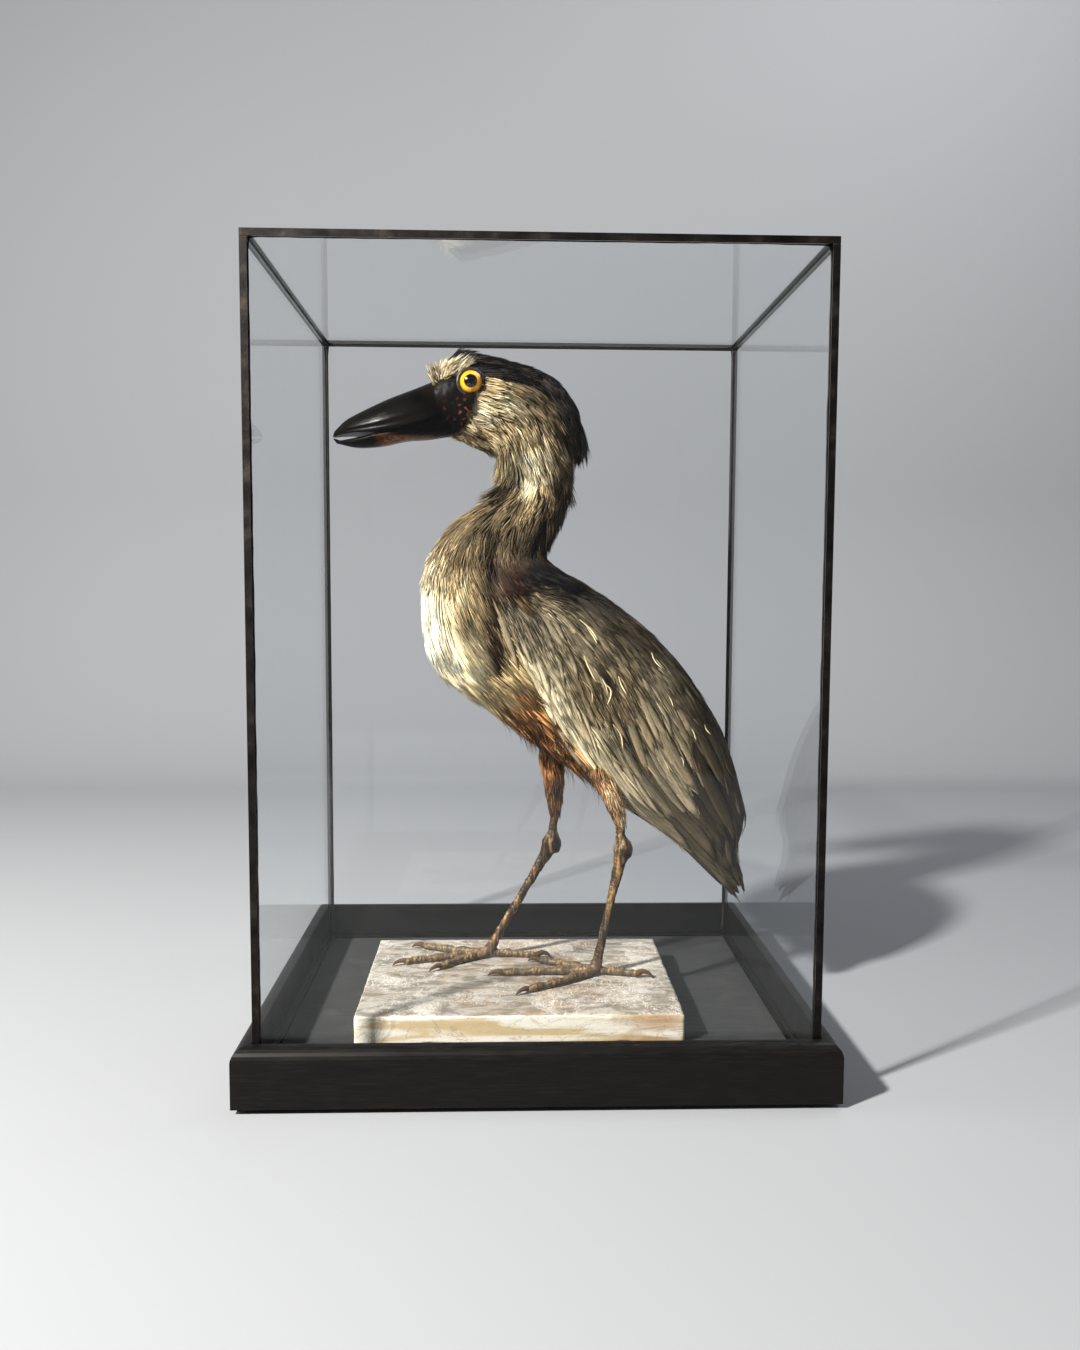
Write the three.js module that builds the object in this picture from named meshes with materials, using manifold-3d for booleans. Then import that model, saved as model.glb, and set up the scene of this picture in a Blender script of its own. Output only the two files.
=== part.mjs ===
// A boat-billed heron, mounted on a marble slab inside a glazed display case.
// Millimetres. +Z is up, the bird faces -X and the case's front is at -Y.
// The origin is the middle of the case's underside, on the surface that it stands on.
import * as THREE from "three";
import { mergeVertices } from "three/addons/utils/BufferGeometryUtils.js";
import Module from "manifold-3d";

const wasm = await Module();
wasm.setup();

// ---- driving dimensions ----
const CASE_W = 340; // glazed case, outside its metal edging, along X
const CASE_D = 283; // along Y
const CASE_H = 497; // from the tray floor to the top edging
const PANE = 2.4; // glass thickness
const CAME = 0.7; // thickness of the metal edging
const CAME_LEG = 4.2; // width of each leg of the edging
const LIP = 1.8; // height of the bottom channel's inner lip
const GAP = 0.3; // clearance between pieces
const FOOT_H = 3; // board under the plinth
const FOOT_INSET = 14;
const FLOOR_Z = 12; // upper face of the tray floor
const RIM_Z = 39; // top of the plinth moulding
const RIM_W = 10.2; // moulding thickness
const RIM_R = 8; // its rounded outer edge
const SLAB = { x: -10.5, y: -6, w: 216, d: 156, h: 20, bevel: 1.5 };
const SLAB_Z = FLOOR_Z + SLAB.h;
const MIDLINE = 8; // the bird's plane of symmetry, Y
const EYE = { x: -44.5, z: 449.3, out: 16.2, r: 9.3 };
const BILL_GAP = 0.5;

// ---- materials ----
const paint = (color, roughness, metalness = 0) =>
  new THREE.MeshStandardMaterial({ color, roughness, metalness });
const MAT = {
  ebonised: paint(0x15130f, 0.35),
  bareWood: paint(0x3a1d12, 0.7),
  marble: paint(0xb9ad98, 0.5),
  glass: new THREE.MeshStandardMaterial({ color: 0xdfeaea, roughness: 0.05, transparent: true, opacity: 0.2 }),
  edging: paint(0x2a2119, 0.4, 0.8),
  horn: paint(0x171310, 0.35),
  iris: paint(0xf0a800, 0.08),
  black: paint(0x100c0b, 0.6),
  buff: paint(0x9b8c6c, 0.85),
  cream: paint(0xc9b78c, 0.85),
  grey: paint(0x7d7462, 0.8),
  rust: paint(0x8a4a22, 0.85),
  legSkin: paint(0x7a5a33, 0.5),
  claw: paint(0x4a3322, 0.35),
};

// ---- geometry helpers ----
const rad = (degrees) => (degrees * Math.PI) / 180;
const lerp = (a, b, t) => a + (b - a) * t;
const smooth = (t) => {
  const c = Math.min(1, Math.max(0, t));
  return c * c * (3 - 2 * c);
};
const range = (count) => Array.from({ length: count }, (_, i) => i);
const curveOf = (points) => new THREE.CatmullRomCurve3(points, false, "catmullrom", 0.5);

function geometryOf(points, triangles) {
  const g = new THREE.BufferGeometry();
  g.setAttribute("position", new THREE.Float32BufferAttribute(points.flat(), 3));
  g.setIndex(triangles.flat());
  return g;
}

// A closed skin over equal rings of points, with its two ends filled in.
function loft(rings) {
  const n = rings[0].length;
  const faces = [];
  for (const r of range(rings.length - 1))
    for (const i of range(n)) {
      const [a, b] = [r * n + i, r * n + ((i + 1) % n)];
      faces.push([a, b, a + n], [b, b + n, a + n]);
    }
  const cap = THREE.ShapeUtils.triangulateShape(flatten(rings[0]), []);
  const last = (rings.length - 1) * n;
  const capEnd = THREE.ShapeUtils.triangulateShape(flatten(rings.at(-1)), []);
  for (const [a, b, c] of cap) faces.push([a, c, b]);
  for (const [a, b, c] of capEnd) faces.push([last + a, last + b, last + c]);
  return geometryOf(rings.flat(), faces);
}

// A ring in its own plane, for filling it: its points run anticlockwise about its normal.
function flatten(ring) {
  const p = ring.map((q) => new THREE.Vector3(...q));
  const centre = p.reduce((s, q) => s.add(q), new THREE.Vector3()).divideScalar(p.length);
  const normal = new THREE.Vector3();
  p.forEach((q) => q.sub(centre));
  p.forEach((q, i) => normal.add(q.clone().cross(p[(i + 1) % p.length])));
  const across = p[0].clone().projectOnPlane(normal.normalize()).normalize();
  const up = normal.clone().cross(across);
  return p.map((q) => new THREE.Vector2(q.dot(across), q.dot(up)));
}

function outward(geometry) {
  const solid = solidOf(geometry);
  if (solid.volume() > 0) return geometry;
  const index = geometry.index.array;
  for (let i = 1; i < index.length; i += 3) [index[i], index[i + 1]] = [index[i + 1], index[i]];
  return geometry;
}

function solidOf(geometry) {
  const bare = geometry.clone();
  bare.deleteAttribute("normal");
  bare.deleteAttribute("uv");
  const merged = mergeVertices(bare, 1e-4);
  return new wasm.Manifold(
    new wasm.Mesh({
      numProp: 3,
      vertProperties: merged.attributes.position.array,
      triVerts: new Uint32Array(merged.index.array),
    }),
  );
}

function geometryOfSolid(solid) {
  const { numProp, vertProperties, triVerts } = solid.getMesh();
  const points = range(vertProperties.length / numProp).map((i) => [
    ...vertProperties.subarray(i * numProp, i * numProp + 3),
  ]);
  return geometryOf(points, [Array.from(triVerts)]);
}

const largest = (solid) => solid.decompose().sort((a, b) => b.volume() - a.volume())[0];
const cut = (geometry, ...tools) =>
  geometryOfSolid(largest(tools.reduce((s, t) => s.subtract(solidOf(t)), solidOf(geometry))));
const join = (...pieces) => geometryOfSolid(pieces.map(solidOf).reduce((a, b) => a.add(b)));

// A round tube along a smooth path, with a radius at each of the path's points.
function tube(path, radii, sides, steps) {
  const curve = curveOf(path.map((p) => new THREE.Vector3(...p)));
  const size = curveOf(radii.map((r) => new THREE.Vector3(r, 0, 0)));
  const rings = [];
  let side = null;
  for (const k of range(steps)) {
    const t = k / (steps - 1);
    const along = curve.getTangent(t);
    if (!side) side = new THREE.Vector3(0, 1, 0).projectOnPlane(along).normalize();
    side = side.clone().projectOnPlane(along).normalize();
    const up = along.clone().cross(side);
    const centre = curve.getPoint(t);
    const r = size.getPoint(t).x;
    rings.push(
      range(sides).map((i) => {
        const a = (i / sides) * 2 * Math.PI;
        return centre
          .clone()
          .addScaledVector(side, Math.cos(a) * r)
          .addScaledVector(up, Math.sin(a) * r)
          .toArray();
      }),
    );
  }
  return outward(loft(rings));
}

const group = new THREE.Group();
function add(name, geometry, material, parent = group) {
  const mesh = new THREE.Mesh(outward(geometry), material);
  mesh.name = name;
  parent.add(mesh);
  return mesh;
}

// ---- the case ----
function box(name, [x0, x1], [y0, y1], [z0, z1], material) {
  const mesh = add(name, new THREE.BoxGeometry(x1 - x0, y1 - y0, z1 - z0), material);
  mesh.position.set((x0 + x1) / 2, (y0 + y1) / 2, (z0 + z1) / 2);
  return mesh;
}

// Four mitred bars round a rectangle. The profile's points are (distance outside the rectangle, height).
function mitredFrame(prefix, halfX, halfY, profile, material) {
  const clear = GAP * 0.5;
  const sides = { front: [0, -1], back: [0, 1], left: [-1, 0], right: [1, 0] };
  for (const [name, [sx, sy]] of Object.entries(sides)) {
    const corner = (end, out, z) =>
      sy
        ? [end * (halfX + out - clear), sy * (halfY + out), z]
        : [sx * (halfX + out), end * (halfY + out - clear), z];
    const rings = [-1, 1].map((end) => profile.map(([out, z]) => corner(end, out, z)));
    add(`${prefix}_${name}`, loft(rings), material);
  }
}

// The plinth moulding's section: square inside, with a rounded outer top edge.
function mouldingProfile() {
  const round = range(7).map((i) => {
    const a = rad(90 - 15 * i);
    return [RIM_W - RIM_R + RIM_R * Math.cos(a), RIM_Z - RIM_R + RIM_R * Math.sin(a)];
  });
  return [[0, FOOT_H + GAP], [0, RIM_Z], ...round, [RIM_W, FOOT_H + GAP]];
}

function buildCase() {
  const [halfX, halfY] = [CASE_W / 2, CASE_D / 2];
  const top = FLOOR_Z + CASE_H;
  const inner = 0.8; // clearance of the glass inside the moulding
  const [footX, footY] = [halfX + inner + RIM_W - FOOT_INSET, halfY + inner + RIM_W - FOOT_INSET];
  box("base_foot", [-footX, footX], [-footY, footY], [0, FOOT_H], MAT.bareWood);
  box("tray_floor", [-halfX - 0.5, halfX + 0.5], [-halfY - 0.5, halfY + 0.5], [FOOT_H, FLOOR_Z], MAT.ebonised);
  mitredFrame("moulding", halfX + inner, halfY + inner, mouldingProfile(), MAT.ebonised);

  // bottom channels, outer edging of the top, and the four upright edges
  const faceX = halfX - CAME - GAP; // outer face of the side panes
  const faceY = halfY - CAME - GAP;
  const channelIn = -(CAME * 2 + PANE + GAP * 2);
  mitredFrame("channel", halfX, halfY, [
    [0, FLOOR_Z],
    [0, FLOOR_Z + CAME_LEG],
    [-CAME, FLOOR_Z + CAME_LEG],
    [-CAME, FLOOR_Z + CAME],
    [channelIn + CAME, FLOOR_Z + CAME],
    [channelIn + CAME, FLOOR_Z + LIP],
    [channelIn, FLOOR_Z + LIP],
    [channelIn, FLOOR_Z],
  ], MAT.edging);
  mitredFrame("top_edge", halfX, halfY, [
    [0, top],
    [0, top - CAME_LEG],
    [-CAME, top - CAME_LEG],
    [-CAME, top - CAME],
    [-CAME_LEG, top - CAME],
    [-CAME_LEG, top],
  ], MAT.edging);
  const uprightZ = [FLOOR_Z + CAME_LEG + GAP, top - CAME_LEG - GAP];
  const corners = { front_left: [-1, -1], front_right: [1, -1], back_left: [-1, 1], back_right: [1, 1] };
  for (const [name, [sx, sy]] of Object.entries(corners)) {
    const angle = [
      [0, 0],
      [CAME_LEG, 0],
      [CAME_LEG, CAME],
      [CAME, CAME],
      [CAME, CAME_LEG],
      [0, CAME_LEG],
    ];
    const rings = uprightZ.map((z) => angle.map(([a, b]) => [sx * (halfX - a), sy * (halfY - b), z]));
    add(`upright_${name}`, loft(rings), MAT.edging);
  }

  // panes: the front and back run the full width, the sides fit between them, the top lies on all four
  const paneZ = [FLOOR_Z + CAME + GAP, top - CAME - GAP - PANE - GAP];
  const sideY = faceY - PANE - GAP;
  box("glass_front", [-faceX, faceX], [-faceY, -faceY + PANE], paneZ, MAT.glass);
  box("glass_back", [-faceX, faceX], [faceY - PANE, faceY], paneZ, MAT.glass);
  box("glass_left", [-faceX, -faceX + PANE], [-sideY, sideY], paneZ, MAT.glass);
  box("glass_right", [faceX - PANE, faceX], [-sideY, sideY], paneZ, MAT.glass);
  box("glass_top", [-faceX, faceX], [-faceY, faceY], [paneZ[1] + GAP, paneZ[1] + GAP + PANE], MAT.glass);
}

function buildSlab() {
  const { x, y, w, d, h, bevel } = SLAB;
  const corners = [[-1, -1], [1, -1], [1, 1], [-1, 1]];
  const ring = (inset, z) => corners.map(([sx, sy]) => [x + sx * (w / 2 - inset), y + sy * (d / 2 - inset), z]);
  const heights = [[0, FLOOR_Z], [0, SLAB_Z - bevel], [bevel, SLAB_Z]];
  add("marble_slab", loft(heights.map(([inset, z]) => ring(inset, z))), MAT.marble);
}

// ---- the bird's body ----
// Stations run from the bill's base over the head, down the neck and along the trunk to the tail's tip.
// Each is a section across the body: its foremost or lowest point, its hindmost or topmost point,
// and its half width.
const STATIONS = [
  { at: "bill base", front: [-64, 415], back: [-73.5, 455], half: 18.5 },
  { at: "lores", front: [-52, 412], back: [-60, 467.5], half: 21 },
  { at: "eye", front: [-40, 406.5], back: [-40, 469.5], half: 22.5 },
  { at: "ear", front: [-30, 403], back: [-16, 464.5], half: 23.5 },
  { at: "hind crown", front: [-25.5, 399], back: [6, 453], half: 23 },
  { at: "occiput", front: [-25, 394], back: [20, 434], half: 22 },
  { at: "nape", front: [-25, 388], back: [24.5, 411], half: 21 },
  { at: "upper neck", front: [-25.5, 380], back: [25, 388], half: 20 },
  { at: "middle neck", front: [-34, 370], back: [21, 366], half: 21 },
  { at: "lower neck", front: [-57, 354], back: [14.5, 347], half: 25 },
  { at: "neck base", front: [-73.5, 329], back: [7, 333], half: 31 },
  { at: "shoulder", front: [-78.5, 303], back: [11, 323.5], half: 37 },
  { at: "breast", front: [-77.5, 275], back: [35, 309.5], half: 40 },
  { at: "keel", front: [-64, 245], back: [65, 289], half: 40 },
  { at: "belly", front: [-38, 227], back: [90.5, 266], half: 38 },
  { at: "flank", front: [-8, 205], back: [108, 245], half: 34 },
  { at: "thigh", front: [22, 183], back: [121.5, 224], half: 29 },
  { at: "vent", front: [50, 162], back: [132.5, 203.5], half: 23 },
  { at: "rump", front: [76, 145], back: [141, 180], half: 17 },
  { at: "tail base", front: [97.5, 132], back: [147.5, 159], half: 12 },
  { at: "middle tail", front: [118, 115], back: [152, 141], half: 9 },
  { at: "hind tail", front: [135.5, 99], back: [147, 121], half: 7 },
  { at: "tail tip", front: [147, 87], back: [151.5, 98], half: 4 },
];
const LAST = STATIONS.length - 1;
const FRONT = curveOf(STATIONS.map(({ front: [x, z] }) => new THREE.Vector3(x, 0, z)));
const BACK = curveOf(STATIONS.map(({ back: [x, z] }) => new THREE.Vector3(x, 0, z)));
const HALF = curveOf(STATIONS.map(({ half }) => new THREE.Vector3(half, 0, 0)));
const station = (name) => STATIONS.findIndex(({ at }) => at === name);
const EGG = 0.07; // how much wider a section is towards the back than towards the front

// A point of the body's surface at station s. Turn 0 is the front or belly, a quarter turn the bird's side,
// and a half turn the back.
function surface(s, turn, off = 0, side = 1) {
  const [f, b] = [FRONT.getPoint(s / LAST), BACK.getPoint(s / LAST)];
  const centre = f.clone().add(b).multiplyScalar(0.5);
  const reach = b.clone().sub(f).multiplyScalar(0.5);
  const depth = reach.length();
  const p = centre.addScaledVector(reach.divideScalar(depth), -Math.cos(turn) * (depth + off));
  const width = (HALF.getPoint(s / LAST).x + off) * (1 - EGG * Math.cos(turn));
  return [p.x, MIDLINE + side * Math.sin(turn) * width, p.z];
}

const SIDES = 20;
const STEP = 0.5; // stations between the rings of a piece
const SPLIT = 0.05; // share of a station left open where two pieces meet
function bodyPiece(from, to, off = 0, split = SPLIT) {
  const all = range(LAST / STEP + 1).map((k) => k * STEP);
  const inside = all.filter((s) => s > from + split + 0.01 && s < to - 0.01);
  const rings = [from + split, ...inside, to].map((s) =>
    range(SIDES).map((i) => surface(s, (i / SIDES) * 2 * Math.PI, off)),
  );
  return outward(loft(rings));
}

// A plate lying on the body's surface, from turn low(s) to high(s), with its thickness thick(s, share across).
// Its underside starts inside the body, to be cut away to fit.
function plate(from, to, steps, across, low, high, thick, side) {
  const rings = range(steps + 1).map((k) => {
    const s = lerp(from, to, k / steps);
    const turn = (t) => lerp(low(s), high(s), t);
    const row = (off) => range(across + 1).map((j) => surface(s, turn(j / across), off(j / across), side));
    return [...row((t) => thick(s, t)), ...row(() => -1.5).reverse()];
  });
  const n = rings[0].length;
  const faces = [];
  for (const r of range(rings.length - 1))
    for (const i of range(n)) {
      const [a, b] = [r * n + i, r * n + ((i + 1) % n)];
      faces.push([a, b, a + n], [b, b + n, a + n]);
    }
  for (const [row, turned] of [[0, true], [rings.length - 1, false]])
    for (const j of range(across)) {
      const [a, b] = [row * n + j, row * n + j + 1];
      const [c, d] = [row * n + (n - 1 - j), row * n + (n - 2 - j)];
      faces.push(...(turned ? [[a, c, b], [b, c, d]] : [[a, b, c], [b, d, c]]));
    }
  return outward(geometryOf(rings.flat(), faces));
}

const CUTS = { neck: 6.5, breast: 8.5, trunk: 11, tail: 18.5 };
const CLEAR = 0.4; // how far the plumage plates stand off the body
const bodyTool = (from, to) => bodyPiece(from, to, CLEAR, 0);
const WING = { from: 10.9, to: 21.9, thick: 5, edge: 2.2, steps: 22, across: 7 };
const CREST = { from: 1.15, to: 6.45, end: 6.9 };
const wingLow = (s) => rad(90 - 75 * smooth((s - 11) / 8));
const wingHigh = (s) => rad(168 - 48 * (1 - smooth((s - 10.9) / 1.6)));
const wingThick = (s, t) => {
  const along = smooth((s - 10.6) / 1.2) * (1 - 0.7 * smooth((s - 16.5) / 5));
  return WING.edge + (WING.thick * Math.sin(Math.PI * Math.min(0.97, t)) ** 0.6 + t) * along;
};
const wingPlate = (side, more = 0) => {
  const low = (s) => wingLow(s) - more * 0.06;
  return plate(WING.from, WING.to, WING.steps, WING.across, low, wingHigh, (s, t) => wingThick(s, t) + more, side);
};

function buildBody() {
  const socket = (side, r) => {
    const g = new THREE.SphereGeometry(r, 14, 9);
    g.rotateX(Math.PI / 2);
    return g.translate(EYE.x, MIDLINE + side * EYE.out, EYE.z);
  };
  const head = bodyPiece(0, CUTS.neck);
  add("head", cut(head, socket(-1, EYE.r + GAP), socket(1, EYE.r + GAP)), MAT.buff);
  add("eye_left", socket(-1, EYE.r), MAT.iris);
  add("eye_right", socket(1, EYE.r), MAT.iris);
  const crestHalf = (s) =>
    lerp(34, 46, smooth((s - 3) / 3)) * smooth((s - 0.7) / 1.6) * (1 - 0.7 * smooth((s - 5.2) / 1.4));
  const crestLow = (s) => rad(180 - crestHalf(s));
  const crestHigh = (s) => rad(180 + crestHalf(s));
  const tuft = (s) => 2 * Math.exp(-(((s - 1.6) / 0.5) ** 2));
  const ridge = (s) => lerp(2.2, 9, smooth((s - 3) / 2.6)) + tuft(s);
  const crestThick = (s, t) => 1 + ridge(s) * Math.sin(Math.PI * t) ** 0.7;
  const crest = plate(CREST.from, CREST.to, 12, 6, crestLow, crestHigh, crestThick, 1);
  add("crest", cut(crest, bodyTool(0, CREST.end)), MAT.black);
  add("neck_upper", bodyPiece(CUTS.neck, CUTS.breast), MAT.buff);
  add("neck_lower", bodyPiece(CUTS.breast, CUTS.trunk), MAT.cream);
  add("trunk", bodyPiece(CUTS.trunk, CUTS.tail), MAT.rust);
  add("tail", bodyPiece(CUTS.tail, LAST), MAT.grey);
  add("wing_left", cut(wingPlate(-1), bodyTool(10, LAST)), MAT.grey);
  add("wing_right", cut(wingPlate(1), bodyTool(10, LAST)), MAT.grey);
}

// ---- the bill ----
// Three lines in side view, from the base to the tip: its ridge, the line of the closed mouth, and its underside.
const BILL = {
  ridge: [[-73.4, 451.6], [-84, 447.2], [-103, 440], [-118, 433], [-132, 425.5], [-140.5, 417.5]],
  mouth: [[-67.6, 427], [-77, 422.5], [-92, 418.6], [-110, 416.2], [-128, 415.2], [-141.5, 413.6]],
  under: [[-64.5, 414.2], [-76, 412.6], [-90, 411.6], [-108, 407.6], [-124, 406.6], [-139, 409.4]],
  half: [18.6, 21, 20.5, 17, 10.5, 3],
};
function billHalf(upper) {
  const line = (points) => curveOf(points.map(([x, z]) => new THREE.Vector3(x, 0, z)));
  const mouth = line(BILL.mouth);
  const edge = line(upper ? BILL.ridge : BILL.under);
  const half = curveOf(BILL.half.map((v) => new THREE.Vector3(v, 0, 0)));
  const lift = upper ? BILL_GAP / 2 : -BILL_GAP / 2;
  const steps = 12;
  const rings = range(steps + 1).map((k) => {
    const t = k / steps;
    const [m, e, w] = [mouth.getPoint(t), edge.getPoint(t), half.getPoint(t).x * (upper ? 1 : 0.94)];
    return range(9).map((i) => {
      const a = (Math.PI * i) / 8;
      const rise = Math.sin(a) ** 0.9;
      return [lerp(m.x, e.x, rise), MIDLINE + Math.cos(a) * w, lerp(m.z + lift, e.z, rise)];
    });
  });
  return loft(rings);
}

// ---- the legs ----
// Each leg: its hip, its knee at the body's edge, the end of the thigh's feathers, ankle and foot.
// The toes end at these points on the slab.
const LEGS = {
  left: {
    hip: [58, -8, 224],
    knee: [42, -11.5, 184],
    bare: [60, -11.7, 147],
    ankle: [63, -11.5, 123],
    foot: [44.5, -11, 37],
    toes: { outer: [-5, -45], middle: [-23, -12], inner: [5, 13.5], hind: [73.5, -16.5] },
  },
  right: {
    hip: [34, 24, 236],
    knee: [14.5, 28, 194],
    bare: [16.6, 28.3, 145],
    ankle: [14, 28.5, 118],
    foot: [-32.5, 28.7, 37.5],
    toes: { outer: [-83, 48], middle: [-93.5, 13], inner: [-67.5, 2], hind: [3, 25] },
  },
};
const PALM = 17; // from the tarsus to the front toes' fork
const HEEL = 6; // from the tarsus to the hind toe
const CLAW = { front: { long: 9.6, high: 4.6, r: 1.6 }, hind: { long: 11.5, high: 6, r: 1.9 } };
const mix = (p, q, t) => p.map((v, i) => lerp(v, q[i], t));
const towards = (p, q, mm) => mix(p, q, mm / new THREE.Vector3(...p).distanceTo(new THREE.Vector3(...q)));
const onSlab = ([x, y], z) => [x, y, SLAB_Z + z];

function buildToe(name, hub, tip) {
  const hind = name.endsWith("hind");
  const start = towards(onSlab(hub, 0), onSlab(tip, 0), (hind ? HEEL : PALM) + GAP * 2);
  const along = (t, z) => onSlab(mix(start, onSlab(tip, 0), t), z);
  const toe = tube([along(0, 3.2), along(0.4, 3), along(0.75, 2.6), along(1, 2.5)], [2.7, 2.4, 2.2, 1.8], 6, 6);
  add(`toe_${name}`, toe, MAT.legSkin);
  const { long, high, r } = hind ? CLAW.hind : CLAW.front;
  const reach = (mm, z) => along(1 + mm / Math.hypot(tip[0] - start[0], tip[1] - start[1]), z);
  const hook = [reach(1.2, 2.9), reach(0.38 * long, high), reach(0.75 * long, high - 1), reach(long, 0.7)];
  add(`claw_${name}`, tube(hook, [r, 0.85 * r, 0.55 * r, 0.3], 6, 6), MAT.claw);
}

function buildLeg(side, { hip, knee, bare, ankle, foot, toes }) {
  const around = [bodyTool(CUTS.trunk, LAST), wingPlate(side === "left" ? -1 : 1, CLEAR)];
  const thigh = tube([hip, knee, mix(knee, bare, 0.5), bare], [14, 11.5, 8.5, 5.4], 10, 8);
  add(`thigh_${side}`, cut(thigh, ...around), MAT.rust);

  const bareTop = towards(bare, ankle, 1.6);
  const joint = [towards(ankle, bare, 1), towards(ankle, foot, 5)];
  const shank = tube([bareTop, mix(bare, ankle, 0.6), ...joint], [3.9, 3.8, 6.4, 5.4], 10, 8);
  add(`shank_${side}`, shank, MAT.legSkin);

  const top = towards(ankle, foot, 6.6);
  const down = [0, 0.12, 0.35, 0.8, 1].map((t) => mix(top, foot, t));
  const bone = tube(down, [5.3, 4.7, 3.7, 3.4, 4.3], 10, 9);
  const heel = new THREE.SphereGeometry(1, 10, 6).scale(5.4, 5.4, 3.1);
  heel.translate(foot[0], foot[1], SLAB_Z + 3.6);
  const fork = Object.entries(toes).map(([name, tip]) => {
    const end = towards(onSlab(foot, 0), onSlab(tip, 0), name === "hind" ? HEEL : PALM);
    return tube([onSlab(foot, 3.8), onSlab(mix(foot, end, 0.6), 3.5), onSlab(end, 3.2)], [2.9, 3.1, 2.9], 6, 4);
  });
  add(`tarsus_${side}`, join(bone, heel, ...fork), MAT.legSkin);
  for (const [name, tip] of Object.entries(toes)) buildToe(`${side}_${name}`, foot, tip);
}

buildCase();
buildSlab();
buildBody();
add("bill_upper", billHalf(true), MAT.horn);
add("bill_lower", billHalf(false), MAT.horn);
for (const [side, leg] of Object.entries(LEGS)) buildLeg(side, leg);

export default group;
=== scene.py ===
"""A mounted boat-billed heron on a marble slab, in a glazed case with dark metal edging on an ebonised tray.

Every length in a table is in millimetres and is turned into metres where a mesh is made.
The bird faces -X, its left side is towards -Y, and +Z is up.
"""

import bpy
import numpy as np
from mathutils import Matrix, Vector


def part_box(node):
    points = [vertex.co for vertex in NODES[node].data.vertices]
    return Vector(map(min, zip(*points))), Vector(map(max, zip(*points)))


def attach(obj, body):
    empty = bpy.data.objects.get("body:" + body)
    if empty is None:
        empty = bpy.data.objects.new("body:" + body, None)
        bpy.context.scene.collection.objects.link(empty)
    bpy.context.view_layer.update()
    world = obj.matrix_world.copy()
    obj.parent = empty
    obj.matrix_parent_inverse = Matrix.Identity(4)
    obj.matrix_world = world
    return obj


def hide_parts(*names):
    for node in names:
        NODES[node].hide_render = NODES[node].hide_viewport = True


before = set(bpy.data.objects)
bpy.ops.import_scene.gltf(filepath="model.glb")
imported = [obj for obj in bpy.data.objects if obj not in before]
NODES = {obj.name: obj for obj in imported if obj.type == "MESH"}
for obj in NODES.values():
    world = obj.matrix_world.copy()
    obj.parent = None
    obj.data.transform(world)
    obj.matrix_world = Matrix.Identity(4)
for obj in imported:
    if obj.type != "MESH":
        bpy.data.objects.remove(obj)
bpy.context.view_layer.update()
MM = 0.001
PI = np.pi
SIDES = ((-1, "left"), (1, "right"))

# ------------------------------------------------------------------ arithmetic


def clamp01(x):
    return np.clip(x, 0.0, 1.0)


def ease(low, high, x):
    """0 below low, 1 above high, and the cubic 3t^2 - 2t^3 between them."""
    t = clamp01((np.asarray(x, float) - low) / (high - low))
    return t * t * (3 - 2 * t)


def bump_at(x, middle, width):
    """A bell of height 1: the exponential of minus the squared distance in widths."""
    return np.exp(-(((np.asarray(x, float) - middle) / width) ** 2))


def unit(v):
    return v / np.maximum(np.linalg.norm(v, axis=-1, keepdims=True), 1e-12)


def dot(a, b):
    return (a * b).sum(-1, keepdims=True)


def catmull(points, t):
    """The smooth cubic through rows of points, at t counted in rows, its ends run on straight."""
    p = np.asarray(points, float)
    p = np.vstack([2 * p[0] - p[1], p, 2 * p[-1] - p[-2]])
    t = np.asarray(t, float)
    i = np.clip(np.floor(t).astype(int), 0, len(p) - 4)
    u = (t - i)[..., None]
    a, b, c, d = p[i], p[i + 1], p[i + 2], p[i + 3]
    return 0.5 * (2 * b + (c - a) * u + (2 * a - 5 * b + 4 * c - d) * u**2 + (3 * b - a - 3 * c + d) * u**3)


def wave_noise(p, scale, seed, octaves=3):
    """Smooth noise from -1 to 1: sines of random directions and phases, each octave half as large and long."""
    r = np.random.default_rng(seed)
    total, weight = 0.0, 0.0
    for k in range(octaves):
        ways = r.normal(size=(5, 3)) * 2**k / scale
        phases = r.uniform(0, 2 * PI, 5)
        total = total + 0.5**k * np.sin(p @ ways.T + phases).mean(-1) * 1.6
        weight += 0.5**k
    return total / weight


def srgb(r, g, b):
    """A colour given as screen values 0 to 255, as linear light."""
    c = np.array([r, g, b]) / 255.0
    return np.where(c <= 0.04045, c / 12.92, ((c + 0.055) / 1.055) ** 2.4)


# ------------------------------------------------------------------ meshes


def grid(down, across):
    """Two parameters spread over a grid of points, one down its rows and one across its columns."""
    return np.meshgrid(down, across, indexing="ij")


def grid_faces(rows, columns, wrap=False):
    """Quads of a grid of points counted row by row, closed round its columns where wrap says so."""
    r, c = grid(np.arange(rows - 1), np.arange(columns if wrap else columns - 1))
    a, b = r * columns + c, r * columns + (c + 1) % columns
    return np.stack([a, b, b + columns, a + columns], -1).reshape(-1, 4)


def closed_tube(rings):
    """Points and quads of a tube of rings (rows, columns, 3), each end shut by a fan drawn in to its middle."""
    middle = rings.mean(1, keepdims=True)
    first, last = (np.repeat(middle[k], rings.shape[1], 0)[None] for k in (0, -1))
    shut = np.concatenate([first + 1e-3 * (rings[:1] - first), rings, last + 1e-3 * (rings[-1:] - last)])
    rows, columns = shut.shape[:2]
    faces = grid_faces(rows, columns, wrap=True)
    caps = [np.arange(columns)[::-1], np.arange(columns) + (rows - 1) * columns]
    return shut.reshape(-1, 3), faces, caps


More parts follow.
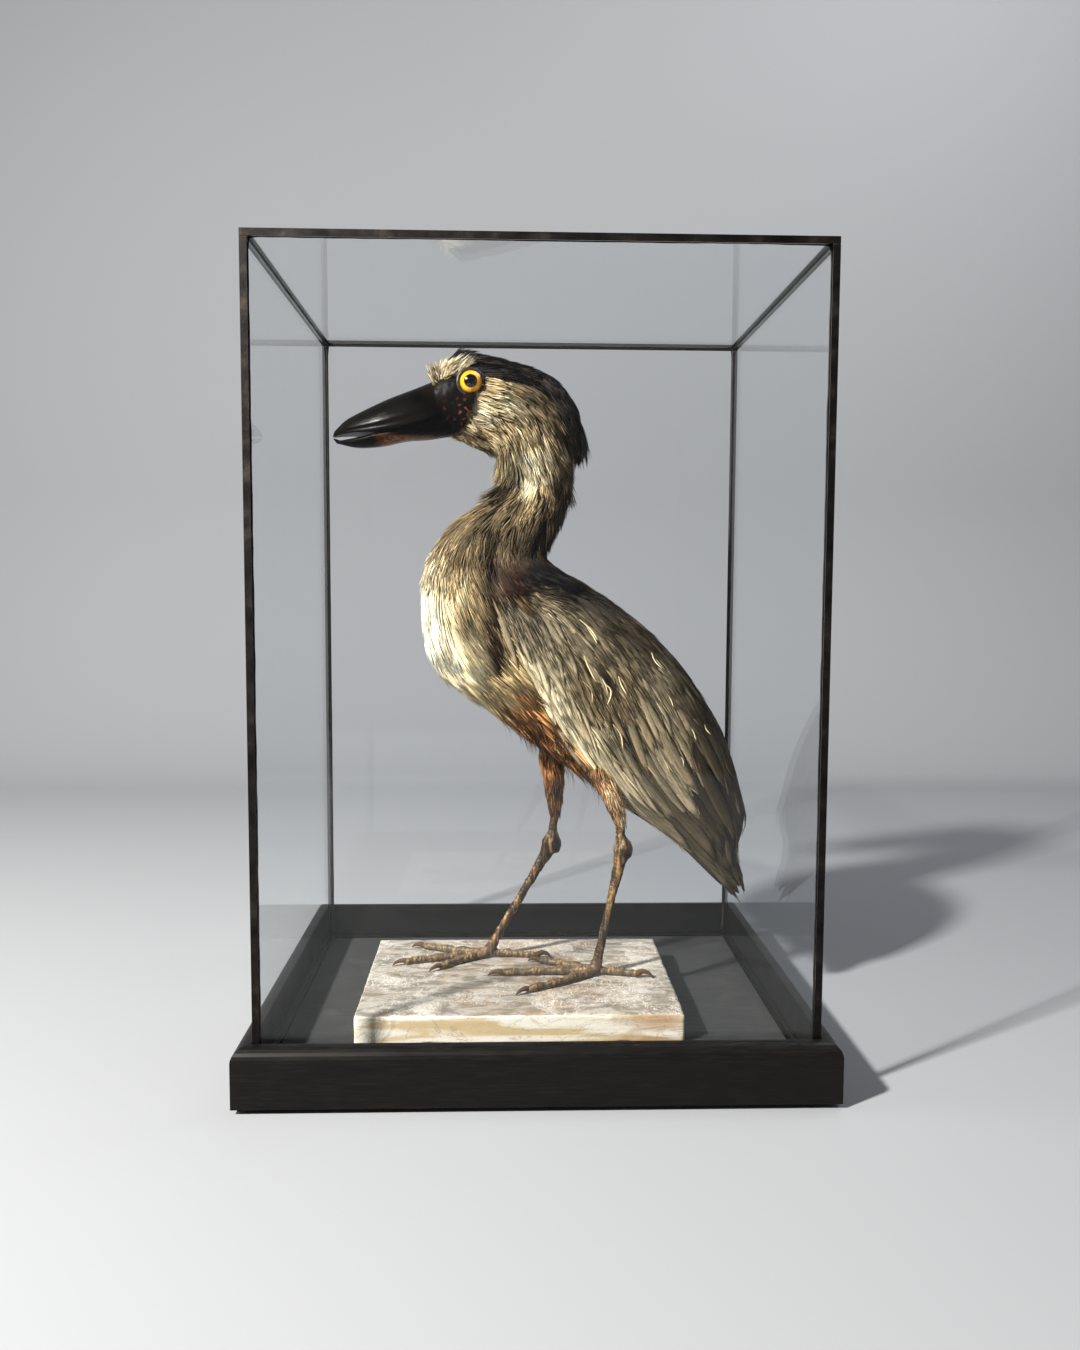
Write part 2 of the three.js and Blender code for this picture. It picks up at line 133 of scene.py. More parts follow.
def make_mesh(name, points, faces, caps=()):
    """One object from points in millimetres and quads, with any larger faces in caps."""
    sizes = np.concatenate([np.full(len(faces), faces.shape[1]), [len(c) for c in caps]]).astype(np.int32)
    corners = np.concatenate([faces.ravel(), *caps]).astype(np.int32)
    mesh = bpy.data.meshes.new(name)
    mesh.vertices.add(len(points))
    mesh.vertices.foreach_set("co", (np.asarray(points, float) * MM).ravel())
    mesh.loops.add(len(corners))
    mesh.loops.foreach_set("vertex_index", corners)
    mesh.polygons.add(len(sizes))
    mesh.polygons.foreach_set("loop_start", np.concatenate([[0], np.cumsum(sizes)[:-1]]).astype(np.int32))
    mesh.polygons.foreach_set("use_smooth", np.ones(len(sizes), bool))
    mesh.update(calc_edges=True)
    mesh.validate()
    piece = bpy.data.objects.new(name, mesh)
    bpy.context.collection.objects.link(piece)
    return piece


def add_map(piece, name, values):
    """A UV map that gives each point its own pair of values."""
    mesh = piece.data
    corner = np.empty(len(mesh.loops), np.int32)
    mesh.loops.foreach_get("vertex_index", corner)
    mesh.uv_layers.new(name=name).data.foreach_set("uv", values[corner].astype(np.float32).ravel())


def add_colour(piece, name, rgb):
    """A colour held by each point."""
    layer = piece.data.color_attributes.new(name, "FLOAT_COLOR", "POINT")
    layer.data.foreach_set("color", np.column_stack([rgb, np.ones(len(rgb))]).astype(np.float32).ravel())


def outward(piece, merge_mm=0.0):
    """Turns every face of closed shells outwards, once points nearer than merge_mm have become one."""
    bpy.ops.object.select_all(action="DESELECT")
    bpy.context.view_layer.objects.active = piece
    piece.select_set(True)
    bpy.ops.object.mode_set(mode="EDIT")
    bpy.ops.mesh.select_all(action="SELECT")
    if merge_mm:
        bpy.ops.mesh.remove_doubles(threshold=merge_mm * MM)
    bpy.ops.mesh.normals_make_consistent(inside=False)
    bpy.ops.object.mode_set(mode="OBJECT")
    piece.select_set(False)


def shell(name, points, faces, caps=(), merge_mm=0.0):
    """One object of closed shells, its faces turned outwards."""
    piece = make_mesh(name, points, faces, caps)
    outward(piece, merge_mm)
    return piece


def joined(shells):
    """Points, faces and caps of several shells as one mesh's, each counted on from the one before."""
    starts = np.cumsum([0] + [len(points) for points, _, _ in shells])
    points = np.concatenate([points for points, _, _ in shells])
    faces = np.concatenate([faces + at for (_, faces, _), at in zip(shells, starts)])
    return points, faces, [cap + at for (_, _, caps), at in zip(shells, starts) for cap in caps]


def place(piece, looks, slot, *nodes):
    """Gives a finished piece its materials, its body and the solids it stands for; slot is not used."""
    for look in looks:
        piece.data.materials.append(look.material)
    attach(piece, "root")
    if nodes:
        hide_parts(*nodes)


# ------------------------------------------------------------------ shader arithmetic


class Value:
    """A shader socket as a number: an operator on it adds that Math node."""

    def __init__(self, look, socket):
        self.look, self.socket = look, socket

    def math(self, operation, *others):
        return self.look.node("ShaderNodeMath", {"operation": operation}, dict(enumerate((self, *others))))

    def __add__(self, other):
        return self.math("ADD", other)

    def __sub__(self, other):
        return self.math("SUBTRACT", other)

    def __rsub__(self, other):
        return self.look.node("ShaderNodeMath", {"operation": "SUBTRACT"}, {0: other, 1: self})

    def __mul__(self, other):
        return self.math("MULTIPLY", other)

    def __truediv__(self, other):
        return self.math("DIVIDE", other)

    def __pow__(self, other):
        return self.math("POWER", other)

    def __abs__(self):
        return self.math("ABSOLUTE")

    __radd__, __rmul__ = __add__, __mul__

    def step(self, low, high):
        """0 below low and 1 above high, eased between."""
        inputs = {"Value": self, "From Min": low, "From Max": high}
        return self.look.node("ShaderNodeMapRange", {"interpolation_type": "SMOOTHSTEP"}, inputs)

    def bell(self, middle, width):
        """1 at the middle, falling away by the square of the distance in widths."""
        away = (self - middle) / width
        return (away * away * -1.0).math("EXPONENT")


class Look:
    """A material being made: one Principled shader whose sockets are set or fed."""

    def __init__(self, name, **sockets):
        self.material = bpy.data.materials.new(name)
        self.material.use_nodes = True
        self.nodes = self.material.node_tree.nodes
        self.links = self.material.node_tree.links
        self.nodes.clear()
        self.output = self.nodes.new("ShaderNodeOutputMaterial")
        self.shader = self.nodes.new("ShaderNodeBsdfPrincipled")
        self.links.new(self.shader.outputs[0], self.output.inputs["Surface"])
        for socket, value in sockets.items():
            self.feed(self.shader.inputs[socket.replace("_", " ")], value)

    def feed(self, socket, value):
        """Links a value to a socket, or sets it."""
        if isinstance(value, Value):
            self.links.new(value.socket, socket)
        elif np.ndim(value) and socket.type == "RGBA":
            socket.default_value = (*value, 1.0)
        else:
            socket.default_value = value

    def finish(self, colour, rough, height, strength, depth_mm):
        """Feeds the shader's colour and roughness, and its normal from a bump of a height map."""
        bump = {"Height": height, "Strength": strength, "Distance": depth_mm * MM}
        fed = {"Base Color": colour, "Roughness": rough, "Normal": self.node("ShaderNodeBump", None, bump)}
        for name, value in fed.items():
            self.feed(self.shader.inputs[name], value)

    def node(self, kind, settings=None, inputs=None, output=0):
        """Adds a node: its settings first, then what its sockets take, and gives back one output."""
        made = self.nodes.new(kind)
        for key, value in (settings or {}).items():
            if key == "stops":
                ramp = made.color_ramp
                while len(ramp.elements) < len(value):
                    ramp.elements.new(0.5)
                for element, (at, colour) in zip(ramp.elements, value):
                    element.position, element.color = at, (*colour, 1.0)
            else:
                setattr(made, key, value)
        for key, value in (inputs or {}).items():
            self.feed(made.inputs[key], value)
        return Value(self, made.outputs[output])

    def place_at(self, scale=(1, 1, 1), turn=(0, 0, 0)):
        """Object coordinates, turned and stretched."""
        where = self.node("ShaderNodeTexCoord", output=3)
        return self.node("ShaderNodeMapping", None, {"Vector": where, "Scale": scale, "Rotation": turn})

    def noise(self, scale, detail=3.0, rough=0.5, bend=0.0, where=None):
        """Fractal noise, at the piece's own coordinates unless told where."""
        sockets = {"Scale": scale, "Detail": detail, "Roughness": rough, "Distortion": bend}
        return self.node("ShaderNodeTexNoise", None, {"Vector": where or self.place_at(), **sockets})

    def ramp(self, value, *stops):
        return self.node("ShaderNodeValToRGB", {"stops": stops}, {"Fac": value})

    def attribute(self, name, output=0):
        return self.node("ShaderNodeAttribute", {"attribute_name": name}, output=output)

    def vector(self, x, y, z=0.0):
        return self.node("ShaderNodeCombineXYZ", None, {0: x, 1: y, 2: z})

    def mix(self, share, a, b, blend="MIX"):
        """Colour a, with b mixed in by share."""
        settings = {"data_type": "RGBA", "blend_type": blend}
        return self.node("ShaderNodeMix", settings, {0: share, 6: a, 7: b}, output=2)

    def coated(self, colour, *coats):
        """A colour under coats of (colour, share), mixed in one over another."""
        for paint, share in coats:
            colour = self.mix(share, colour, paint)
        return colour

    def parts(self, vector):
        """The three numbers of a vector."""
        split = self.node("ShaderNodeSeparateXYZ", None, {0: vector}).socket.node
        return [Value(self, out) for out in split.outputs]

    def millimetres(self, axes):
        """The place along each of the axes named, in millimetres."""
        place = self.parts(self.node("ShaderNodeTexCoord", output=3))
        return [place["xyz".index(axis)] * 1000.0 for axis in axes]


# ------------------------------------------------------------------ the bird's own shape

MIDLINE = 8.0  # the bird's plane of symmetry, Y
SLAB_TOP = 32.0
EYE = {"x": -44.5, "z": 449.3, "out": 16.2, "r": 9.3}

# Stations from the bill's base over head, neck and trunk to the tail's tip:
# foremost or lowest point (x, z), hindmost or topmost point (x, z), half width.
STATIONS = np.array([
    (-64, 415, -73.5, 455, 18.5), (-52, 412, -60, 466, 21), (-40, 406.5, -40, 467.5, 22.5),
    (-30, 403, -16, 463, 23.5), (-25.5, 399, 6, 453, 23), (-25, 394, 20, 434, 22),
    (-25, 388, 24.5, 411, 21), (-25.5, 380, 25, 388, 20), (-34, 370, 21, 366, 21),
    (-57, 354, 14.5, 347, 25), (-73.5, 329, 7, 333, 31), (-78.5, 303, 11, 323.5, 37),
    (-77.5, 275, 35, 309.5, 40), (-64, 245, 65, 289, 40), (-38, 227, 90.5, 266, 38),
    (-8, 205, 108, 245, 34), (22, 183, 121.5, 224, 29), (50, 162, 132.5, 203.5, 23),
    (76, 145, 141, 180, 17), (97.5, 132, 147.5, 159, 12), (118, 115, 150, 142, 9),
    (135.5, 99, 144.5, 121, 7), (147, 87, 151.5, 98, 4),
])  # fmt: skip
LAST = len(STATIONS) - 1
EGG = 0.07  # how much wider a section is at the back than at the front


def body(s, turn, off=0.0):
    """The body's surface: across station s goes an ellipse from its front point to its back point.

    Turn 0 is the front or belly, pi the back; positive turns are the right side. Off lifts the point."""
    row = catmull(STATIONS, s)
    front, back = row[..., 0:2], row[..., 2:4]
    reach = (back - front) / 2
    depth = np.linalg.norm(reach, axis=-1)
    share = (np.cos(turn) * (1 + off / depth))[..., None]
    middle = (front + back) / 2 - reach * share
    width = (row[..., 4] + off) * (1 - EGG * np.cos(turn))
    return np.stack([middle[..., 0], MIDLINE + np.sin(turn) * width, middle[..., 1]], -1)


def slopes(surface, a, b):
    """Where a two-parameter surface is, how it runs along each parameter, and its outward normal."""
    h = 0.01
    p = surface(a, b)
    along = (surface(a + h, b) - surface(a - h, b)) / (2 * h)
    round_ = (surface(a, b + h) - surface(a, b - h)) / (2 * h)
    return p, along, round_, unit(np.cross(round_, along))


def walk(surface, a, b, aim, length, steps, sense):
    """Paths that start at (a, b) and keep to a surface while heading along aim, and the normals on their way.

    aim gives world directions from how the surface runs along its two parameters.
    At each step the wanted move is split between the two parameters by least squares."""
    points, normals = [], []
    for _ in range(steps + 1):
        p, along, round_, normal = slopes(surface, a, b)
        normal = normal * sense
        points.append(p)
        normals.append(normal)
        way = aim(along, round_)
        way = unit(way - dot(way, normal) * normal) * (length / steps)[:, None]
        e, f, g = dot(along, along)[:, 0], dot(along, round_)[:, 0], dot(round_, round_)[:, 0]
        m, n = dot(way, along)[:, 0], dot(way, round_)[:, 0]
        area = np.maximum(e * g - f * f, 1e-6)
        a, b = a + (g * m - f * n) / area, b + (e * n - f * m) / area
    return np.stack(points, 1), np.stack(normals, 1)


# ------------------------------------------------------------------ plumage colours

CREAM = srgb(238, 223, 184)
WHITE = srgb(247, 237, 206)
BUFF = srgb(186, 164, 122)
STRAW = srgb(206, 182, 134)
DRAB = srgb(124, 105, 74)
UMBER = srgb(54, 43, 29)
TAUPE = srgb(140, 130, 108)
TAUPE_DARK = srgb(84, 74, 57)
WING_DARK = srgb(42, 35, 25)
SOOT = srgb(15, 13, 12)
MAROON = srgb(38, 21, 14)
RUST = srgb(180, 124, 74)
RUST_DARK = srgb(72, 46, 27)
NECK_BUFF = srgb(150, 108, 64)
BREAST_BUFF = srgb(182, 156, 112)
# painted shade for the hollow before the wing
HOLLOW_SHADE = srgb(44, 30, 20)
BARE_BLACK = srgb(9, 8, 7)
THIGH_PALE, THIGH_BROWN = srgb(206, 172, 128), srgb(134, 98, 62)
LEG_BROWN = srgb(112, 82, 46)


def blend(a, b, share):
    share = np.asarray(share)[..., None]
    return a * (1 - share) + b * share


def painted(colour, *coats):
    """A colour under coats of (colour, share), laid one over another."""
    for paint, share in coats:
        colour = blend(colour, paint, share)
    return colour


def from_front(turn):
    """How far round a turn is from the front, 0 to pi, on either side."""
    return np.abs(np.remainder(turn + PI, 2 * PI) - PI)


def body_colour(s, turn, p):
    """The markings of head, neck, breast and belly, from the station, the turn and the place."""
    phi = from_front(turn)
    patch, fine = wave_noise(p, 9.0, 3), wave_noise(p, 2.5, 5)
    x, z = p[..., 0], p[..., 2]
    head, low = 1 - ease(6.0, 7.4, s), ease(9.2, 10.8, s)
    # painted highlight: two pale patches on the cheek
    cheek_highlight = bump_at(x + 0.5 * (z - 426), -33, 9) * bump_at(z, 426, 8)
    cheek_highlight = cheek_highlight + 0.7 * bump_at(x + 0.8 * (z - 432), -16, 12) * bump_at(z, 432, 7)
    # painted highlight: a pale patch on the side of the neck
    neck_highlight = clamp01(1.3 * bump_at(x, -7, 9) * bump_at(z, 389, 13) + 0.3 * fine)
    strip = bump_at(z - jaw_line(x), -2.5, 2.4) * ease(-40, -48, x)
    side = ease(0.9, 1.9, phi + 0.3 * patch)
    # the nape: umber, partly its own colour and partly painted shade under the crest
    nape_umber_and_shade = ease(2.4, 3.4, s) * (1 - ease(9.8, 10.8, s))
    nape_umber_and_shade = 0.8 * nape_umber_and_shade * ease(0.0, 0.6, phi + 0.2 * patch - 1.2 - 0.5 * ease(4.6, 5.6, s))
    breast = 1 - ease(0.5, 1.25, phi + 0.25 * patch + 0.35 * ease(12.2, 13.2, s))
    creep = s + 1.0 * np.sin(np.minimum(phi, 1.5)) + 0.3 * patch
    belly = ease(13.7, 14.5, creep) * (1 - ease(1.9, 2.4, phi))
    colour = painted(
        DRAB,
        (BUFF, 0.55 * ease(-0.2, 0.6, patch)),
        # head: paler throat and buff brow, with painted highlights on the cheek and the side of the neck
        (STRAW, 0.5 * head * bump_at(s, 4.6, 1.6) * (1 - ease(1.5, 2.5, phi))),
        # painted highlight on the cheek, with pale flecks over the head
        (CREAM, clamp01(0.85 * cheek_highlight + 0.4 * fine * head)),
        # painted highlight on the side of the neck
        (CREAM, neck_highlight * ease(0.4, 1.2, phi)),
        (CREAM, 0.8 * bump_at(x, -61, 10) * bump_at(z, 461, 8)),
        (UMBER, 0.55 * head * ease(0.1, 0.6, fine) * bump_at(z, 436, 12)),
        (NECK_BUFF, 0.85 * strip),
        # neck: drab; umber behind, partly painted shade; painted shade under the chin and in its lower half
        (UMBER, nape_umber_and_shade),
        # painted shade under the chin, where the head shades the neck
        (UMBER, 0.95 * bump_at(s, 6.3, 1.8) * (1 - ease(1.0, 1.55, phi + 0.2 * patch))),
        # painted shade low on the neck at the fold above the breast, deeper toward the back
        (UMBER, (0.55 + 0.3 * side) * bump_at(s, 8.7, 1.2)),
        # breast: cream in front, straw between, drab towards the wing
        (BREAST_BUFF, 0.85 * low * (1 - ease(0.9, 1.7, phi + 0.25 * patch))),
        (CREAM, 0.95 * low * breast),
        (WHITE, 0.8 * bump_at(s, 11.8, 1.5) * (1 - ease(0.3, 0.9, phi))),
        (STRAW, 0.8 * ease(12.0, 13.0, s) * (1 - ease(0.9, 1.5, phi + 0.2 * patch))),
        # belly and flanks: rufous with paler streaks, creeping forward beside the wing; the back: umber
        (blend(RUST, RUST_DARK, 0.5 + 0.8 * fine), belly),
        (STRAW, 0.6 * belly * ease(0.2, 0.8, 0.6 * patch + 0.6 * fine)),
        (BUFF, 0.5 * belly * ease(17.0, 19.5, s)),
        (blend(TAUPE_DARK, UMBER, 0.5 + 0.5 * patch), ease(10.6, 11.8, s) * ease(2.2, 2.7, phi)),
    )
    return shoulder_patch(colour, p)


def shoulder_patch(colour, p):
    """Dark maroon at the wing's shoulder, soot along the top edge behind it, and painted shade in the hollow before the
    wing.
    """
    x, z, fine = p[..., 0], p[..., 2], wave_noise(p, 3.0, 47)
    maroon = bump_at(x, -14, 11) * bump_at(z, 313, 14)
    ridge = 320 - 0.45 * np.maximum(x - 5, 0)
    soot = bump_at(z - ridge, 0, 11) * ease(-14, -3, x) * (1 - ease(22, 50, x))
    # painted shade in the hollow before the wing
    hollow_shade = bump_at(x, -29, 5.5) * ease(238, 254, z) * (1 - ease(326, 336, z))
    return painted(
        colour,
        (HOLLOW_SHADE, clamp01(1.2 * hollow_shade + 0.3 * fine * hollow_shade)),
        (MAROON, clamp01(1.6 * maroon + 0.35 * fine * maroon)),
        (SOOT, clamp01(1.3 * soot + 0.4 * fine * soot)),
    )


def cap_colour(p):
    return blend(SOOT, srgb(36, 30, 26), 0.5 + 0.5 * wave_noise(p, 4.0, 8))


def cap_half(s):
    """Half the crest's width as an angle about the back of the head."""
    wide = 34 + 12 * ease(3, 6, s)
    return np.radians(wide * ease(0.6, 2.2, s) * (1 - 0.7 * ease(5.2, 6.6, s)))


def cap_line(x):
    """Height of the black cap's lower edge in side view, from the brow over the eye to the nape."""
    at = [-60, -52.7, -34.6, -5.4, 8.2, 21.6, 30.7, 36]
    return np.interp(x, at, [465, 457, 453, 449, 441, 429, 403, 396])


def jaw_line(x):
    """Height of the lower edge of the bare face."""
    return 415 + 13 * ease(-56, -40, x)


def bare_face(p):
    """1 on the bare black skin between bill, eye and gape, with a ragged edge."""
    x, z = p[..., 0] + 2.4 * wave_noise(p, 3.2, 7), p[..., 2] + 1.6 * wave_noise(p, 2.6, 9)
    back = ease(-38, -42, x - 0.1 * (z - 437))
    return back * (1 - ease(-1.5, 1.5, z - 455 - 0.1 * (x + 60))) * ease(-1.5, 1.5, z - jaw_line(x))


# ------------------------------------------------------------------ making feathers

WISP_STEPS, WISP_RIDGE = 3, 0.5
WISP_TAPER = np.array([0.7, 1.0, 0.75, 0.06])  # a slim blade's width at each step, as a share
SPOT = 0.003  # how wide a slim blade's patch of the OFBake map is


def wisps(path, normal, half):
    """Slim closed blades: a three-sided section (right, ridge, left) carried along each path.

    half is each blade's half width, which the taper's shares and the ridge's height go by."""
    tangent = unit(np.gradient(path, axis=1))
    side = unit(np.cross(normal, tangent))
    up = unit(np.cross(tangent, side))
    wide = (half[:, None] * WISP_TAPER[None, :])[..., None]
    ring = np.stack([path + side * wide, path + up * wide * WISP_RIDGE, path - side * wide], 2)
    return blades(ring, np.array([1.0, 0.0, -1.0]))


def blades(rings, spread):
    """Closed tubes of rings (blades, rows, columns, 3), with each point's share across and along its blade."""
    count, rows, columns = rings.shape[:3]
    start = np.arange(count)[:, None] * rows * columns
    faces = (grid_faces(rows, columns, wrap=True)[None] + start[:, :, None]).reshape(-1, 4)
    ends = np.arange(columns)
    caps = [*(start + ends[::-1]), *(start + (rows - 1) * columns + ends)]
    across = np.broadcast_to(spread, (count, rows, columns)).ravel()
    along = np.broadcast_to(np.linspace(0, 1, rows)[None, :, None], (count, rows, columns)).ravel()
    return rings.reshape(-1, 3), faces, caps, across, along


def finish_blades(name, points, faces, caps, across, along, rgb, bake):
    """One coat piece from its blades, with their colours, their OFBake patches and the Vane map of shares."""
    piece = make_mesh(name, points, faces, caps)
    add_colour(piece, "plume", np.clip(rgb, 0.002, 0.95))
    add_map(piece, "OFBake", bake)
    add_map(piece, "Vane", np.column_stack([across * 0.5 + 0.5, along]))
    return piece


def bake_spots(root_a, root_b, across, along, per):
    """OFBake: each feather is a patch at its root's place on the unwrapped body."""
    u = np.repeat(root_b / (2 * PI) + 0.5, per) % 1.0
    v = np.repeat(root_a / LAST, per) % 1.0
    spot = np.column_stack([u, v]) * (1 - 2 * SPOT) + SPOT
    return spot + SPOT / 2 * np.column_stack([across, 2 * along - 1])


def scatter(count, low, high, turn_low, turn_high, seed, surface=body):
    """Roots spread evenly by area over a range of two parameters, by keeping trials in proportion to it."""
    r = np.random.default_rng(seed)
    trials = count * 6
    a, b = r.uniform(low, high, trials), r.uniform(turn_low, turn_high, trials)
    _, along, round_, _ = slopes(surface, a, b)
    area = np.linalg.norm(np.cross(along, round_), axis=-1)
    keep = r.uniform(0, 1, trials) < area / np.quantile(area, 0.98)
    return a[keep][:count], b[keep][:count]


def locks_of(path, clumps, seed, pull):
    """Draws neighbouring paths together towards their tips: each follows the nearest of a few chosen ones."""
    r = np.random.default_rng(seed)
    chosen = r.choice(len(path), clumps, replace=False)
    middle = path[chosen, 0]
    nearest = np.empty(len(path), int)
    for i in range(0, len(path), 2000):
        away = ((path[i : i + 2000, None, 0] - middle[None]) ** 2).sum(-1)
        nearest[i : i + 2000] = away.argmin(1)
    share = np.linspace(0, 1, path.shape[1]) ** 1.4
    own = pull * r.uniform(0.6, 1.1, len(path))
    leader = path[chosen][nearest]
    draw = (own[:, None] * share[None, :])[..., None]
    return path + (leader - path) * draw, nearest


def grows(start, more, low, high):
    """A measure that begins at start and gains more between two stations."""
    return lambda s, _: start + more * ease(low, high, s)


def sized(measure, a, b):
    """A measure at each root: a function of both parameters, or one number for all."""
    return measure(a, b) if callable(measure) else np.full_like(a, measure)


def plume_coat(name, roots, length, width, lift, look, slot, *nodes, clumps, seed, pull=0.5, lean=None,
               colour=body_colour, tone=0.3, surface=body, sense=1.0, sink=1.0,
               tip_light=0.25, sway=0.08, grain=14.0):  # fmt: skip
    """One coat piece: blades that walk over a surface from their roots, drawn into locks.

    length, width and lift are measures; lift is how far the tips stand off and sink how deep the roots lie.
    lean turns the blades towards a world direction, tone is how much they vary, sway how far they stray."""
    r = np.random.default_rng(seed)
    a, b = roots
    long_ = sized(length, a, b) * r.uniform(0.7, 1.25, len(a))
    stray = r.normal(0, sway, (len(a), 1))
    lean = lean(a) if callable(lean) else lean

    def lie(along, round_):
        way = unit(along)
        if lean is not None:
            way = unit(way + np.asarray(lean))
        return way + stray * unit(round_)

    path, normal = walk(surface, a, b, lie, long_, WISP_STEPS, sense)
    clear = off_the_eyes(path)
    path, normal, a, b = path[clear], normal[clear], a[clear], b[clear]
    count = len(a)
    path, group = locks_of(path, clumps, seed + 50, pull)
    share = np.linspace(0, 1, WISP_STEPS + 1)
    lock_lift = r.uniform(0.2, 1.9, clumps)[group]
    high = (sized(lift, a, b) * lock_lift * r.uniform(0.6, 1.3, count))[:, None] * share[None, :] ** 1.2
    path = path + normal * (high - sink * (1 - share[None, :]))[..., None]
    half = sized(width, a, b) * r.uniform(0.65, 1.3, count) / 2
    made = wisps(path, normal, half)
    across, along = made[3:]
    per = (WISP_STEPS + 1) * 3
    base = colour(a, b, path[:, (WISP_STEPS + 1) // 2])
    lock_tone = r.normal(0, tone * 0.7, clumps)[group]
    streaks = wave_noise(np.column_stack([a * 0.9, b * grain, 0 * a]), 1.0, seed + 7)
    shade = np.exp(r.normal(-0.03, tone, count) + lock_tone + 0.4 * streaks)
    rgb = np.repeat(base * shade[:, None], per, 0)
    # painted shade: each blade darker towards its root, where the others cover it; lighter towards its tip by tip_light
    rgb = rgb * (1 - 0.6 * (1 - along) ** 1.5 + tip_light * along**2)[:, None]
    piece = finish_blades(name, *made, rgb, bake_spots(a, b, across, along, per))
    place(piece, [look], slot, *nodes)


# ------------------------------------------------------------------ finishes


def plume_look(name, streak, edge, rough, gloss):
    """Feathers: the blade's own colour, with barbs as fine slanting streaks, and paler edges where asked.

    The Vane map holds the share across the blade and the share along it."""
    look = Look(name, Specular_IOR_Level=gloss)
    across, along, _ = look.parts(look.node("ShaderNodeUVMap", {"uv_map": "Vane"}))
    off_shaft = abs(across - 0.5) * 2.0
    barbs = look.noise(900.0, 2.0, 0.6)
    soft = look.noise(160.0, 2.0)
    slant = look.vector(along * 15.0 - off_shaft * 3.0, off_shaft * 1.2, soft * 2.0)
    lines = look.noise(1.6, 2.0, 0.6, where=slant)
    light = (lines - 0.5) * (2.2 * streak) + (barbs - 0.5) * streak + 1.0
    if edge:
        light = light + (off_shaft.step(0.65, 1.0) + 1.0 - off_shaft.step(0.0, 0.12)) * edge
    grey = look.node("ShaderNodeCombineColor", None, {0: light, 1: light, 2: light})
    shade = look.mix(1.0, look.attribute("plume"), grey, "MULTIPLY")
    look.finish(shade, rough, lines * 0.7 + barbs * 0.3, 0.35, 0.3)
    return look


def down_look():
    """Matt down under the coat, mixed toward dark brown in fine patches; its colour is painted darker than the
    feathers, as shade under them.
    """
    look = Look("down")
    fluff = look.noise(420.0, 4.0, 0.65)
    look.finish(look.mix(fluff * 0.7, look.attribute("plume"), srgb(52, 42, 30)), 0.85, fluff, 0.6, 0.8)
    return look


def face_look():
    """Bare black face: folds and fine wrinkles, flecked with red-brown by the gape."""
    look = Look("bare_face", Specular_IOR_Level=0.03)
    wrinkles = look.noise(520.0, 4.0, 0.6, 0.6)
    folds = look.noise(150.0, 3.0, 0.5, 1.0)
    fleck = look.noise(330.0, 3.0, 0.6).step(0.57, 0.64)
    x, z = look.millimetres("xz")
    gape = (x + 52.0).bell(0.0, 11.0) * (z - 429.0).bell(0.0, 8.0)
    colour = look.mix(fleck * gape * 0.7, look.attribute("plume"), srgb(122, 66, 38))
    look.finish(colour, folds * 0.3 + 0.25, wrinkles * 0.5 + folds, 0.5, 0.5)
    return look


def leg_look():
    """Dried leg skin: ochre and umber plates with pale worn crests, and painted shade in the creases."""
    look = Look("leg_skin", Specular_IOR_Level=0.3)
    tone = look.noise(210.0, 4.0, 0.62, where=look.place_at((1, 1, 0.22)))
    (z,) = look.millimetres("z")
    crust = look.noise(650.0, 4.0, 0.65)
    relief = look.attribute("crease", output=2)
    worn = relief.step(0.55, 0.95) * crust.step(0.45, 0.62)
    colour = look.coated(
        look.ramp(tone, (0.38, srgb(26, 18, 11)), (0.51, srgb(70, 50, 28)), (0.63, srgb(134, 100, 54))),
        # painted shade in the creases
        (srgb(24, 17, 11), (1.0 - relief).step(0.3, 0.75) * 0.85),
        (srgb(96, 82, 64), (1.0 - z.step(38.0, 46.0)) * 0.55),
        (srgb(172, 142, 94), worn * 0.5),
    )
    look.finish(colour, crust * 0.35 + 0.3, crust, 0.4, 0.35)
    return look


# ------------------------------------------------------------------ skin

COAT_DEPTH, BARE_DEPTH = 2.8, 0.2


def skin_depth(s, turn):
    """How far the skin lies under the solids: the coat's depth, less on the bare face and at the tail."""
    depth = blend(COAT_DEPTH, BARE_DEPTH, bare_face(body(s, turn)))[..., 0]
    return depth * (1 - 0.6 * ease(19.5, 22, s)) * ease(-0.5, 1.0, s + 0.4)


def tube_rings(path, radii, rows, sides):
    """Rings of a round tube: a circle whose radius changes smoothly, carried square to a smooth path."""
    t = np.linspace(0, len(path) - 1, rows)
    centre = catmull(path, t)
    r = catmull(np.asarray(radii, float)[:, None], t)[:, 0]
    tangent = unit(np.gradient(centre, axis=0))
    upright = np.eye(3)[np.abs(centre[-1] - centre[0]).argmin()]
    side = unit(np.cross(tangent, upright))
    up = unit(np.cross(side, tangent))
    a = np.linspace(0, 2 * PI, sides, endpoint=False)
    ring = np.cos(a)[None, :, None] * side[:, None] + np.sin(a)[None, :, None] * up[:, None]
    return centre[:, None] + ring * r[:, None, None]


# Each leg's joints, the cuff being the middle of the feathered thigh, and the tips of its toes (x, y).
LEGS = {
    "left": {
        "hip": (58, -8, 224), "cuff": (48.5, -6.5, 184), "knee": (42, -11.5, 184), "bare": (60, -11.7, 147),
        "ankle": (63, -11.5, 123), "foot": (44.5, -11, 37),
        "toes": {"outer": (-5, -45), "middle": (-23, -12), "inner": (5, 13.5), "hind": (73.5, -16.5)},
    },
    "right": {
        "hip": (34, 24, 236), "cuff": (14.5, 28, 194), "knee": (14.5, 28, 194), "bare": (16.6, 28.3, 145),
        "ankle": (14, 28.5, 118), "foot": (-32.5, 28.7, 37.5),
        "toes": {"outer": (-83, 48), "middle": (-93.5, 13), "inner": (-67.5, 2), "hind": (3, 25)},
    },
}  # fmt: skip
TOE_SWAY = {"outer": 1.6, "middle": -1.2, "inner": -2.0, "hind": 1.5}
TOES = tuple(TOE_SWAY)


def leg_points(leg):
    """A leg's joints as arrays."""
    return {k: np.array(v, float) for k, v in leg.items() if k != "toes"}


